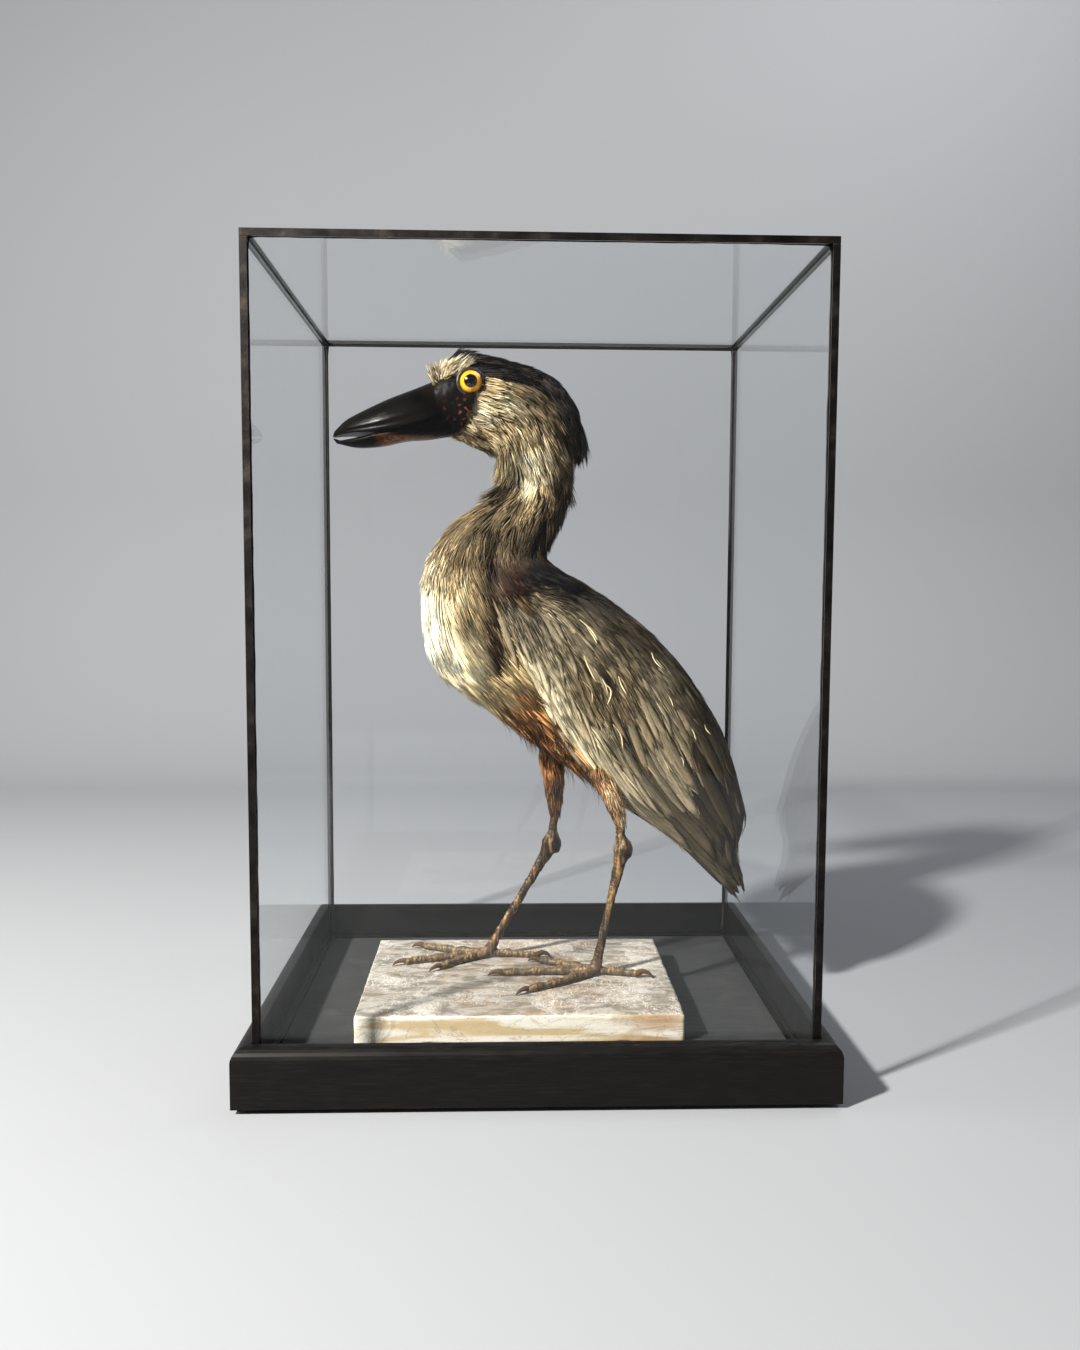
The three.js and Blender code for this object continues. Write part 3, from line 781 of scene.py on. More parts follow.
def toe_path(leg, name):
    """Centres and radii of a toe from the ball of the foot to its claw, swelling at each knuckle."""
    foot = np.array(leg["foot"][:2], float)
    tip = np.array(leg["toes"][name], float)
    t = np.linspace(0, 1, 9)[:, None]
    bend = np.array([-(tip - foot)[1], (tip - foot)[0]]) / np.linalg.norm(tip - foot)
    flat = foot + (tip - foot) * t + bend * TOE_SWAY[name] * np.sin(PI * t)
    high = np.array([4.6, 3.7, 3.2, 3.5, 2.9, 3.3, 2.7, 3.0, 2.5])
    radius = np.array([3.4, 2.9, 2.5, 2.95, 2.3, 2.75, 2.1, 2.5, 1.9])
    return np.column_stack([flat, SLAB_TOP + high]), radius * (1.05 if name != "hind" else 1.0)


def thigh_surface(leg, off=0.0):
    """A feathered thigh: level circles about the line from hip to cuff to bare shin."""
    j = leg_points(leg)
    line = np.array([j["hip"], j["cuff"], (j["cuff"] + j["bare"]) / 2, j["bare"]])
    radii = np.array([[12.0], [9.2], [7.2], [4.6]])

    def surface(s, turn):
        r = catmull(radii, s)[..., 0] + off
        return catmull(line, s) + np.stack([-np.cos(turn) * r, np.sin(turn) * r, 0 * r], -1)

    return surface


def leg_bones(leg):
    """Every tube of a bare leg as (path, radii): shin and ankle, tarsus, the ankle's knobs, and the toes."""
    p = leg_points(leg)
    bare, ankle, foot = p["bare"], p["ankle"], p["foot"]
    shin_top = bare + (p["knee"] - bare) * 0.25
    fore = np.array([-2.6, 0, 0])
    shin = [shin_top, bare, bare * 0.45 + ankle * 0.55, ankle + [0.3, 0, 1.5], ankle * 0.94 + foot * 0.06]
    tarsus = [ankle + [0, 0, 2], *(ankle * (1 - t) + foot * t for t in (0.06, 0.14, 0.35, 0.6, 0.85, 1.0))]
    heel = [ankle + [2.2, -2.4, -1.6], ankle + [2.6, 0, -2.6], ankle + [2.2, 2.4, -1.6]]
    front = [ankle + fore + [0, -2.4, 2.4], ankle + fore + [0, 2.4, 2.4]]
    bones = [(shin, [4.4, 3.7, 3.5, 7.2, 5.2]), (tarsus, [5.4, 5.2, 4.2, 3.3, 3.0, 3.3, 4.6]),
             (heel, [3.4, 4.0, 3.4]), (front, [3.6, 3.6])]  # fmt: skip
    return bones + [toe_path(leg, name) for name in TOES]


def creases(points, normals, bones):
    """Relief of leg skin, 0 in the creases and 1 on the plates.

    Each point takes its distance along the nearest tube's centre line; plates repeat along that line,
    and lengthwise tendon grooves come from the point's direction about it."""
    samples, along, ways = [], [], []
    for path, _ in bones:
        line = catmull(path, np.linspace(0, len(path) - 1, 70))
        samples.append(line)
        along.append(np.concatenate([[0], np.cumsum(np.linalg.norm(np.diff(line, axis=0), axis=1))]))
        ways.append(unit(np.gradient(line, axis=0)))
    samples, along, ways = np.concatenate(samples), np.concatenate(along), np.concatenate(ways)
    nearest = np.empty(len(points), int)
    for i in range(0, len(points), 3000):
        nearest[i : i + 3000] = ((points[i : i + 3000, None] - samples[None]) ** 2).sum(-1).argmin(1)
    way = ways[nearest]
    step = along[nearest] + dot(points - samples[nearest], way)[:, 0]
    steep = np.abs(way[:, 2])
    pitch = np.where(steep > 0.6, 3.1, 2.3)  # from plate to plate, on the leg and on the toes
    slack = 0.25 * wave_noise(points, 6.0, 31)
    plate = np.abs(np.sin(PI * (step / pitch + slack)))
    facing = ease(-0.2, 0.5, normals[:, 2] * (1 - steep) - normals[:, 0] * steep)
    knobs = 0.5 + 0.5 * wave_noise(points, 1.3, 33)
    ring = ease(0.0, 0.55, plate) * facing + knobs * (1 - facing)
    tendon = 0.5 + 0.5 * np.sin(9 * wave_noise(points * [1, 1, 0.12], 4.0, 35))
    return clamp01(0.4 * ring + 0.6 * tendon)


def of_points(mesh, what):
    """A vector held by each point of a mesh, as rows."""
    values = np.empty(len(mesh.vertices) * 3)
    mesh.vertices.foreach_get(what, values)
    return values.reshape(-1, 3)


def fused_legs():
    """Both bare legs as one smooth surface: tubes run together by a voxel remesh, then given their relief."""
    bones = [bone for leg in LEGS.values() for bone in leg_bones(leg)]
    tubes = []
    for path, radii in bones:
        longest = np.linalg.norm(np.diff(np.asarray(path), axis=0), axis=1).sum()
        tubes.append(closed_tube(tube_rings(path, radii, max(8, int(longest / 1.2)), 16)))
    rough = shell("legs_rough", *joined(tubes))
    merge = rough.modifiers.new("merge", "REMESH")
    merge.mode, merge.voxel_size = "VOXEL", 0.62 * MM
    soften = rough.modifiers.new("soften", "SMOOTH")
    soften.factor, soften.iterations = 0.5, 3
    made = bpy.data.meshes.new_from_object(rough.evaluated_get(bpy.context.evaluated_depsgraph_get()))
    bpy.data.objects.remove(rough)
    where, facing = of_points(made, "co") / MM, of_points(made, "normal")
    relief = creases(where, facing, bones)
    where = where + facing * (0.85 * (relief - 0.6) + 0.4 * wave_noise(where, 2.6, 37))[:, None]
    where[:, 2] = np.maximum(where[:, 2], SLAB_TOP + 0.05)
    sides = [p.vertices[:] for p in made.polygons]
    quads = np.array([side for side in sides if len(side) == 4])
    rest = [np.array(side) for side in sides if len(side) != 4]
    bpy.data.meshes.remove(made)
    return where, quads, rest, relief


WING_SINK = 2.4  # how deep a wing's bed lies under its outer face


def wing_low(s):
    return np.radians(90 - 67 * ease(11, 19, s))


def wing_high(s):
    return np.radians(168 - 48 * (1 - ease(10.9, 12.5, s)))


def wing_turn(s, q):
    """How far round the body a wing's share q is, from its lower edge to its upper edge."""
    return wing_low(s) + (wing_high(s) - wing_low(s)) * q


def wing_surface(side, rise=0.0):
    """A folded wing's outer face: share q across runs from its lower edge to its upper edge."""

    def surface(s, q):
        along = ease(10.6, 11.8, s) * (1 - 0.7 * ease(16.5, 21.5, s))
        thick = 1.6 + (5 * np.sin(PI * np.clip(q, 0.0, 0.97)) ** 0.6 + np.clip(q, 0, 1)) * along
        return body(s, side * wing_turn(s, q), thick + rise)

    return surface


def wing_bed(side):
    """The closed form under a wing's feathers: its outer face less the feathers' depth, and a face in the body."""
    s = np.linspace(10.95, 21.4, 60)[:, None]
    q = np.linspace(0.02, 1, 16)[None, :]
    s, q = np.broadcast_arrays(s, q)
    outer = wing_surface(side, -WING_SINK)(s, q)
    inner = body(s, side * wing_turn(s, q), -3.5)
    return closed_tube(np.concatenate([outer, inner[:, ::-1]], 1))


def wing_colour(s, q, p):
    """Markings of a wing: a painted highlight in cream along its front edge, drab taupe over it, umber up by the back
    that is partly painted shade, and umber at the tips.
    """
    patch = wave_noise(p, 16.0, 41)
    fine = wave_noise(np.stack([s * 0.6, q * 8.0, 0 * s], -1), 1.0, 42)
    high = q + 0.3 * ease(15.0, 19.0, s) + 0.2 * (1 - ease(12.5, 15.0, s)) + 0.14 * patch + 0.06 * fine
    # painted highlight along the front edge
    front = (1 - ease(0.0, 0.3, q + 0.08 * fine)) * (1 - ease(16.0, 18.5, s)) * ease(12.0, 13.4, s)
    colour = painted(
        TAUPE,
        (DRAB, 0.5 + 0.6 * patch),
        (TAUPE_DARK, 0.6 * ease(0.0, 0.8, fine)),
        # umber up by the back: partly its own colour, partly painted shade
        (WING_DARK, 0.95 * ease(0.44, 0.88, high)),
        (WING_DARK, 0.9 * ease(16.2, 19.2, s)),
        # painted highlight: cream along the front edge
        (CREAM, 0.6 * front),
    )
    return shoulder_patch(colour, p)


def build_skin():
    """One skin: the body's, sunk by the coat's depth, with the thighs, the wings' beds and the bare legs in it."""
    s, turn = grid(np.linspace(0.02, LAST - 0.9, 230), np.linspace(-PI, PI, 96, endpoint=False))
    wrinkle = 0.45 * bare_face(body(s, turn)) * wave_noise(body(s, turn), 2.2, 61)
    trunk = closed_tube(body(s, turn, wrinkle - skin_depth(s, turn)))
    a, b = (np.concatenate([v[:1], v, v[-1:]]).ravel() for v in (s, turn))
    p, bare = trunk[0], bare_face(body(a, b))
    crown = ease(-1, 1, p[..., 2] - cap_line(p[..., 0])) * (1 - ease(6.3, 6.6, a))
    feathered = blend(body_colour(a, b, p), cap_colour(p), crown)
    beds = [wing_bed(side) for side in (-1, 1)]
    t, turn = grid(np.linspace(0, 3, 40), np.linspace(0, 2 * PI, 20, endpoint=False))
    thighs = [closed_tube(thigh_surface(leg, -1.8)(t, turn)) for leg in LEGS.values()]
    *legs, relief = fused_legs()
    soft = [trunk, *beds, *thighs]
    skin = shell("skin", *joined([*soft, legs]))
    # painted shade under the coat: dark taupe under the wings, dark rust in the thighs, and the body's markings at 0.7
    plain = [(TAUPE_DARK, beds[0]), (TAUPE_DARK, beds[1]), (RUST_DARK, thighs[0]), (RUST_DARK, thighs[1])]
    colours = [np.broadcast_to(colour, part[0].shape) for colour, part in (*plain, (LEG_BROWN, legs))]
    add_colour(skin, "plume", np.concatenate([blend(feathered * 0.7, BARE_BLACK, bare), *colours]))
    crease = np.concatenate([np.zeros(len(skin.data.vertices) - len(relief)), relief])
    add_colour(skin, "crease", np.repeat(crease[:, None], 3, 1))
    flesh = ["head", "neck_upper", "neck_lower", "trunk"]
    flesh += [f"{part}_{side}" for side in LEGS for part in ("thigh", "shank", "tarsus")]
    flesh += [f"toe_{side}_{toe}" for side in LEGS for toe in TOES]
    place(skin, [down_look(), face_look(), leg_look()], "buff_plumage", *flesh)
    # faces come in this order: the soft parts' quads, the legs' quads, the soft parts' caps, the legs' rest
    soft_quads, soft_caps = (sum(len(part[k]) for part in soft) for k in (1, 2))
    kind = np.zeros(len(skin.data.polygons), np.int32)
    kind[: len(trunk[1])][bare[trunk[1]].mean(1) > 0.5] = 1
    kind[soft_quads : soft_quads + len(legs[1])] = 2
    kind[soft_quads + len(legs[1]) + soft_caps :] = 2
    skin.data.polygons.foreach_set("material_index", kind)


# ------------------------------------------------------------------ the coat


def off_the_eyes(path):
    """Which paths stay clear of the eyes."""
    return np.hypot(path[..., 0] - EYE["x"], path[..., 2] - EYE["z"]).min(1) > EYE["r"] + 0.5


def crest_surface(s, q):
    """The crest's outer face: q 0 to 1 crosses the back of the head, highest along its middle."""
    arch = np.sin(PI * np.clip(q, 0.02, 0.98)) ** 0.7
    high = 1 + (2.2 + 6.8 * ease(3, 5.6, s) + 2 * bump_at(s, 1.6, 0.5)) * arch
    return body(s, PI + cap_half(s) * (1 - 2 * q), high)


def over_wing(s, turn):
    """The body with the wings' thickness added from the shoulder on."""
    return body(s, turn, 1.0 + 5.5 * ease(10.3, 11.8, s) * (1 - ease(2.6, 3.0, from_front(turn))))


def build_coat(soft, black):
    """Every piece of hair-like plumage, from the forehead to the thighs."""
    s, b = scatter(9600, 0.05, 6.9, -PI, PI, seed=2)
    p = body(s, b)
    under_cap = p[..., 2] < cap_line(p[..., 0]) + 0.5
    keep = (bare_face(p) < 0.4) & (under_cap | (s > 6.5)) & ~((s < 1.3) & (np.abs(b) > 2.3))
    plume_coat(
        "head_feathers", (s[keep], b[keep]), grows(7.0, 11.0, 1.2, 4.0), lambda s, b: 0.68 + 0.05 * s,
        lambda s, b: 1.3 + 1.6 * ease(1.5, 3.0, s) + 1.6 * ease(3, 4, s) * (1 - ease(0.4, 0.9, np.abs(b))),
        soft, "buff_plumage", clumps=300, pull=0.6, seed=3, tone=0.48, lean=(0.4, 0, -0.3), sway=0.09,
    )  # fmt: skip

    def forehead_colour(s, b, p):
        pale = blend(BUFF, CREAM, 0.5 + wave_noise(p, 2.5, 49))
        return blend(UMBER, pale, 0.25 + 0.75 * ease(-70, -61, p[..., 0]))

    plume_coat(
        "forehead_bristles", scatter(1700, 0.05, 1.5, 2.1, 2 * PI - 2.1, seed=5), grows(6.0, 5.0, 0.3, 1.2), 0.6,
        grows(4.5, -1.5, 0.2, 1.2), soft, "cream_plumage", clumps=90, pull=0.7, seed=6, tone=0.6, sway=0.4,
        lean=lambda s: np.column_stack([-1.3 + 1.3 * ease(0.2, 0.7, s), 0 * s, 0.5 + 0 * s]), colour=forehead_colour,
    )  # fmt: skip

    r = np.random.default_rng(8)
    roots = r.uniform(0.95, 6.0, 3600), r.uniform(0.04, 0.96, 3600)
    plume_coat(
        "crest_feathers", roots, grows(11, 8, 1.0, 4.5), lambda s, q: 0.9 + 0.12 * s,
        lambda s, q: 0.8 + 2.2 * ease(4.8, 6.2, s) + 2.2 * bump_at(s, 1.0, 0.4), black, "black_plumage", "crest",
        clumps=230, seed=9, colour=lambda s, q, p: cap_colour(p), surface=crest_surface, sense=-1.0, tone=0.4, grain=30.0,
    )  # fmt: skip
    s, b = scatter(4200, 1.2, 6.5, -PI, PI, seed=10)
    p = body(s, b)
    above = p[..., 2] > cap_line(p[..., 0]) + 0.5 * wave_noise(p, 4.0, 11)
    keep = above & (np.abs(b) < PI - 0.55 * cap_half(s))
    plume_coat(
        "cap_feathers", (s[keep], b[keep]), grows(9, 7, 1.5, 4.5), lambda s, b: 0.9 + 0.08 * s,
        grows(1.0, 1.6, 4.0, 6.2), black, "black_plumage", clumps=170, tone=0.4, seed=11,
        colour=lambda s, b, p: cap_colour(p),
    )  # fmt: skip

    plume_coat(
        "neck_feathers", scatter(8600, 6.1, 10.4, -PI, PI, seed=12), grows(17, 7, 7, 10), grows(0.95, 0.35, 7, 10),
        lambda s, b: 2.0 + 2.4 * bump_at(s, 7.0, 0.7), soft, "buff_plumage", clumps=300, pull=0.55, seed=13, tone=0.4,
        lean=(0, 0, -0.4), sway=0.1,
    )  # fmt: skip
    plume_coat(
        "breast_feathers", scatter(8000, 8.9, 13.7, -1.8, 1.8, seed=15), grows(29, 8, 9, 12), grows(1.2, 0.4, 9, 12),
        grows(2.0, -0.6, 12, 13.5), soft, "cream_plumage", clumps=210, seed=16, tone=0.32,
        lean=(0.25, 0, -0.5), sway=0.06,
    )  # fmt: skip
    s, b = scatter(6500, 13.0, 20.0, -1.9, 1.9, seed=18)
    keep = np.abs(b) < wing_low(s) + 0.3
    plume_coat(
        "belly_feathers", (s[keep], b[keep]), grows(24, 4, 13, 16), 1.2, 2.0, soft, "rufous_plumage",
        clumps=200, pull=0.6, seed=19, tone=0.6, lean=(0.1, 0, -0.35),
    )  # fmt: skip
    plume_coat(
        "belly_bristles", scatter(420, 14.4, 17.4, -0.9, 0.9, seed=33), 17.0, 0.6, 5.5, soft, "rufous_plumage",
        clumps=40, pull=0.6, seed=34, tone=0.4, sway=0.3, lean=(0.1, 0, -0.8),
        colour=lambda s, b, p: blend(SOOT, RUST_DARK, clamp01(0.5 + wave_noise(p, 4.0, 35))),
    )  # fmt: skip
    plume_coat(
        "mantle_feathers", scatter(4200, 9.4, 11.2, 1.75, 2 * PI - 1.75, seed=21, surface=over_wing),
        grows(24, 4, 10, 11), 1.3, 1.0, soft, "grey_plumage", clumps=170, seed=22, surface=over_wing, tone=0.34,
    )  # fmt: skip
    plume_coat(
        "back_feathers", scatter(4300, 10.6, 19.6, 2.7, 2 * PI - 2.7, seed=28), 26.0, 1.5, 1.2, soft, "grey_plumage",
        clumps=130, pull=0.4, seed=29, tone=0.4, surface=lambda s, b: body(s, b, 1.8), grain=30.0,
    )  # fmt: skip

    for side, leg in LEGS.items():
        r = np.random.default_rng(24)
        roots = r.uniform(0.0, 2.95, 2300), r.uniform(-PI, PI, 2300)
        # painted highlight: the near (left) thigh is made paler than the far one
        pale = 0.0 if side == "right" else 1.0

        def thigh_colour(s, b, p, pale=pale):
            fine, patch = wave_noise(p, 2.5, 43), wave_noise(p, 7.0, 44)
            rust = blend(blend(RUST, RUST_DARK, 0.5 + 0.7 * fine), UMBER, ease(1.0, 2.6, s) * 0.5)
            # painted highlight over the near thigh
            near_thigh_highlight = pale * ease(0.5, 1.4, s) * ease(0.4, 1.1, np.abs(b))
            spots = 0.7 * ease(0.2, 0.8, patch) * ease(0.7, 1.2, s)
            return blend(rust, blend(THIGH_PALE, THIGH_BROWN, clamp01(0.35 + fine)), clamp01(near_thigh_highlight + spots))

        plume_coat(
            f"thigh_{side}_feathers", roots, grows(14, -4, 2.0, 2.9), grows(1.0, -0.4, 2.0, 2.9),
            grows(1.2, -0.9, 2.0, 2.9), soft, "rufous_plumage", clumps=150, pull=0.55, seed=25,
            surface=thigh_surface(leg), colour=thigh_colour, tone=0.4,
        )  # fmt: skip


VANE_STEPS, VANE_ARCH = 7, 0.26
VANE_ACROSS = np.array([1.0, 0.5, 0.0, -0.5, -1.0, 0.0])  # a section's six points, over the top and back under
VANE_RISE = np.array([0.0, 0.72, 1.0, 0.72, 0.0, 0.55])  # how high each stands, as a share of the arch
VANE_SPOT = 0.01  # how wide a broad feather's patch of the OFBake map is


def vanes(path, normal, half, outline, wave):
    """Broad closed feathers: six points to a section, an arched upper face and a flat lower one.

    half is the half width, outline its share at each step; the middle's height is a share of it."""
    tangent = unit(np.gradient(path, axis=1))
    side = unit(np.cross(normal, tangent))
    up = unit(np.cross(tangent, side))
    wide = (half[:, None] * outline)[..., None]
    curl = wave[..., None] * (VANE_ACROSS**2)[None, None, :]
    thick = np.array([0, 0, 0.25, 0, 0, 0])[None, None, :]
    high = VANE_ARCH * VANE_RISE[None, None, :] * wide + curl + thick
    spread = VANE_ACROSS[None, None, :, None] * side[:, :, None] * wide[..., None]
    return blades(path[:, :, None] + spread + high[..., None] * up[:, :, None], VANE_ACROSS)


def vane_coat(name, surface, rows, look, slot, *nodes, colour, seed, sense=1.0, point=2.4):
    """Broad feathers laid in rows on a surface.

    Each row gives roots (a, b), the move in both parameters to the tip, half width, root and tip height."""
    r = np.random.default_rng(seed)
    columns = (np.concatenate([np.broadcast_to(row[i], row[0].shape) for row in rows]) for i in range(7))
    a, b, da, db, half, sunk, lift = columns
    t = np.linspace(0, 1, VANE_STEPS + 1)
    bend = r.normal(0, 0.02, len(a))
    pa = a[:, None] + da[:, None] * t
    pb = b[:, None] + db[:, None] * t + bend[:, None] * np.sin(PI * t)
    p, _, _, normal = slopes(surface, pa, pb)
    normal = normal * sense
    path = p + normal * (sunk[:, None] * (1 - t) ** 1.5 + lift[:, None] * t**1.3)[..., None]
    shut = r.uniform(0.45, 0.7, (len(a), 1))
    closing = clamp01((t - shut) / (1.003 - shut)) ** point
    outline = (0.5 + 0.5 * ease(0, 0.3, t)) * np.sqrt(np.clip(1 - closing, 0.0025, 1))
    outline = outline * (1 + 0.07 * r.normal(size=(len(a), VANE_STEPS + 1)))
    wave = 0.35 * half[:, None] / 4 * r.normal(0.2, 0.6, (len(a), 1)) * t[None, :]
    made = vanes(path, normal, half, outline, wave)
    across, along = made[3:]
    per = (VANE_STEPS + 1) * len(VANE_ACROSS)
    base = colour(a + 0.5 * da, b + 0.5 * db, path[:, VANE_STEPS // 2])
    rgb = np.repeat(base * np.exp(r.normal(-0.02, 0.22, len(a)))[:, None], per, 0)
    # painted shade: each feather darker towards its root, under the row above, and darker along one side
    rgb = rgb * (0.38 + 0.76 * along - 0.33 * across + 0.14 * across**2)[:, None]
    spot = np.column_stack([np.repeat(b / 7 + 0.5, per) % 1.0, np.repeat(a / LAST, per)])
    spot = spot * 0.985 + 0.006 + 0.5 * VANE_SPOT * np.column_stack([across, 2 * along - 1])
    place(finish_blades(name, *made, rgb, spot), [look], slot, *nodes)


# Long flight feathers and tertials, row by row: station, reach, lowest and highest share, number, half width.
FLIGHT_ROWS = (
    (15.8, 4.9, 0.08, 0.86, 11, 5.2), (14.8, 3.8, 0.3, 0.95, 9, 5.0), (17.2, 4.7, 0.04, 0.62, 10, 4.6),
)  # fmt: skip
# The tail's rows: station, reach, number, half width.
TAIL_ROWS = ((17.4, 4.6, 21, 3.4), (18.4, 3.9, 23, 2.6), (16.6, 3.6, 17, 4.2), (19.0, 3.4, 21, 2.2))


def build_wing(side, name, soft, vane):
    """A wing: shingled rows of long coverts, then tertials and flight feathers, with a streaky cover of loose barbs."""
    r = np.random.default_rng(70)
    rows = []
    for tier, s0 in enumerate(np.arange(19.6, 11.0, -0.42)):
        shoulder = 1 - ease(11.5, 15.0, s0)
        count = int(round(13 + 2 * shoulder - 5 * ease(16, 20, s0)))
        q = (np.arange(count) + 0.5 + 0.5 * (tier % 2)) / (count + 0.5) + r.normal(0, 0.02, count)
        s = s0 + r.normal(0, 0.16, count)
        reach = np.minimum((3.0 - 1.1 * shoulder) * r.uniform(0.8, 1.25, count), 22.0 - s)
        half = 2.5 + r.normal(0, 0.4, count)
        rows.append((s, q, reach, -0.05 + 0.03 * q, half, -1.6, 0.4 + 0.9 * r.uniform(0, 1, count)))
    for s0, far, low, high, count, half in FLIGHT_ROWS:
        q = np.linspace(low, high, count) + r.normal(0, 0.02, count)
        s = s0 + r.normal(0, 0.25, count)
        reach = np.minimum(far * r.uniform(0.78, 1.1, count), r.uniform(21.4, 22.5, count) - s)
        rows.append((s, q, reach, 0.0 * q - 0.02, half, -1.3, 0.7 + 1.9 * r.uniform(0, 1, count)))
    q = np.linspace(0.45, 1.0, 12) + r.normal(0, 0.02, 12)
    s = 18.0 + r.normal(0, 0.3, 12)
    rows.append((s, q, r.uniform(2.2, 3.4, 12), 0.02 * q, 2.7, -1.0, 2.2 + 2.4 * r.uniform(0, 1, 12)))
    sense = float(side)
    vane_coat(
        f"{name}_feathers", wing_surface(side), rows, vane, "grey_plumage", name, colour=wing_colour, seed=71,
        sense=sense,
    )  # fmt: skip
    s, q = r.uniform(10.8, 20.2, 9800), r.uniform(0.01, 0.99, 9800)
    share = 1 - 0.93 * ease(13.8, 16.8, s + 2.2 * (0.5 - q)) + 0.3 * ease(18.4, 19.2, s)
    thin = r.uniform(0, 1, 9800) < share
    plume_coat(
        f"{name}_barbs", (s[thin], q[thin]), grows(20, 9, 12, 16), 0.95, 1.2, soft, "grey_plumage", clumps=230,
        pull=0.35, seed=73, surface=wing_surface(side, 0.2), sense=sense, colour=wing_colour, tone=0.42, sink=1.2,
        tip_light=0.4, sway=0.05, grain=38.0,
    )  # fmt: skip


def build_worn_edges(soft):
    """Long pale feather edges that catch the light here and there on both wings."""

    def pale(s, q, p):
        return blend(STRAW, CREAM, clamp01(0.5 + wave_noise(p, 9.0, 79)))

    for side, name in SIDES:
        r = np.random.default_rng(77)
        s, q = r.uniform(12.2, 17.4, 15), r.uniform(0.25, 0.8, 15)
        reach, swing, half = r.uniform(0.4, 0.8, 15), r.normal(-0.01, 0.012, 15), r.uniform(0.4, 0.6, 15)
        row = (s, q, reach, swing, half, 1.0, r.uniform(1.5, 2.2, 15))
        vane_coat(
            f"worn_edges_{name}", wing_surface(side), [row], soft, "cream_plumage", colour=pale, seed=78,
            sense=float(side), point=1.2,
        )  # fmt: skip


def build_tail(soft, vane):
    """The tail: long narrow feathers from the rump to ragged tips, over and under."""

    def tail_colour(s, b, p):
        return blend(WING_DARK, DRAB, 0.35 * ease(0, 1, wave_noise(p, 8.0, 45)))

    r = np.random.default_rng(80)
    rows = []
    for s0, far, count, half in TAIL_ROWS:
        b = np.linspace(0.25, 2 * PI - 0.25, count) + r.normal(0, 0.05, count)
        s = s0 + r.normal(0, 0.2, count)
        reach = np.minimum(far * r.uniform(0.8, 1.08, count), r.uniform(20.9, 22.7, count) - s)
        rows.append((s, b, reach, 0.0 * b, half, -1.5, r.uniform(0.2, 2.6, count)))
    vane_coat("tail_feathers", body, rows, vane, "grey_plumage", "tail", colour=tail_colour, seed=81, point=1.4)
    plume_coat(
        "tail_fringe", scatter(900, 18.6, 20.4, 0.1, 2 * PI - 0.1, seed=82), 15.0, 0.8, 2.6, soft, "grey_plumage",
        clumps=60, pull=0.6, seed=83, tone=0.4, sway=0.1, colour=tail_colour,
    )  # fmt: skip


# ------------------------------------------------------------------ bill, eyes and claws

RIDGE = [(-73.4, 451.6), (-84, 447.2), (-103, 440), (-118, 433), (-132, 425.5), (-140.5, 417.5)]
MOUTH = [(-67.6, 427), (-77, 422.5), (-92, 418.6), (-110, 416.2), (-128, 415.2), (-141.5, 413.6)]
UNDER = [(-64.5, 414.2), (-76, 412.6), (-90, 411.6), (-108, 407.6), (-124, 406.6), (-139, 409.4)]
BILL_HALF = [(18.6,), (21,), (20.5,), (17,), (10.5,), (3,)]
NOSTRIL = (-79, 439.3)  # middle of the slit (x, z)


def add_length(piece, rows, columns):
    """The Length map: the share round each ring, and the share along the rings."""
    share, around = grid(np.linspace(0, 1, rows), np.linspace(0, 1, columns))
    add_map(piece, "Length", np.column_stack([around.ravel(), share.ravel()]))


def bill_part(name, crown, wide, gap, nostrils):
    """A half of the bill: over each station the section rises from the mouth line to the crown by sin^0.9.

    The upper half has a raised ridge between two grooves, fine lengthwise lines and slit nostrils."""
    t, turn = grid(np.linspace(-0.45, 5, 160), np.linspace(0, PI, 64))
    top, mouth = catmull(crown, t), catmull(MOUTH, t)
    half = catmull(BILL_HALF, np.maximum(t, 0))[..., 0] * wide * (1 + 0.1 * np.minimum(t, 0))
    open_tip = (0.3 if gap > 0 else -3.2) * ease(2.9, 4.1, t) * (1 - 0.75 * ease(4.5, 5.0, t))
    mouth = mouth + np.stack([0 * t, gap + open_tip], -1)
    line = mouth + (top - mouth) * np.sin(turn)[..., None] ** 0.9
    p = np.stack([line[..., 0], MIDLINE + np.cos(turn) * half, line[..., 1]], -1)
    up = np.stack([0 * t, np.cos(turn), np.sin(turn) * np.sign(crown[0][1] - MOUTH[0][1])], -1)
    lines = 0.2 * wave_noise(np.stack([t * 1.2, turn * 9, 0 * t], -1), 1.0, 91)
    lip = -0.5 * bump_at(np.minimum(turn, PI - turn), 0.16, 0.05)
    high = lip + lines + 0.1 * wave_noise(p, 9.0, 92)
    if nostrils:
        off = (turn - PI / 2) * half / 10
        grooves = bump_at(off, 0.5, 0.17) + bump_at(off, -0.5, 0.17)
        grooves = -1.1 * grooves * ease(0, 0.4, t) * (1 - ease(3.6, 4.8, t))
        x, z = p[..., 0] - NOSTRIL[0], p[..., 2] - NOSTRIL[1]
        slit = bump_at(x + 0.45 * z, 0, 4.2) * bump_at(z - 0.42 * x, 0, 1.1)
        high = high + grooves + 0.5 * bump_at(off, 0, 0.24) - 1.6 * slit
    p = p + up * high[..., None]
    flat = p[:, -1:] + (p[:, :1] - p[:, -1:]) * np.linspace(0, 1, 14)[None, 1:-1, None]
    rings = np.concatenate([p, flat], 1)
    piece = shell(name, *closed_tube(rings))
    add_length(piece, rings.shape[0] + 2, rings.shape[1])
    return piece


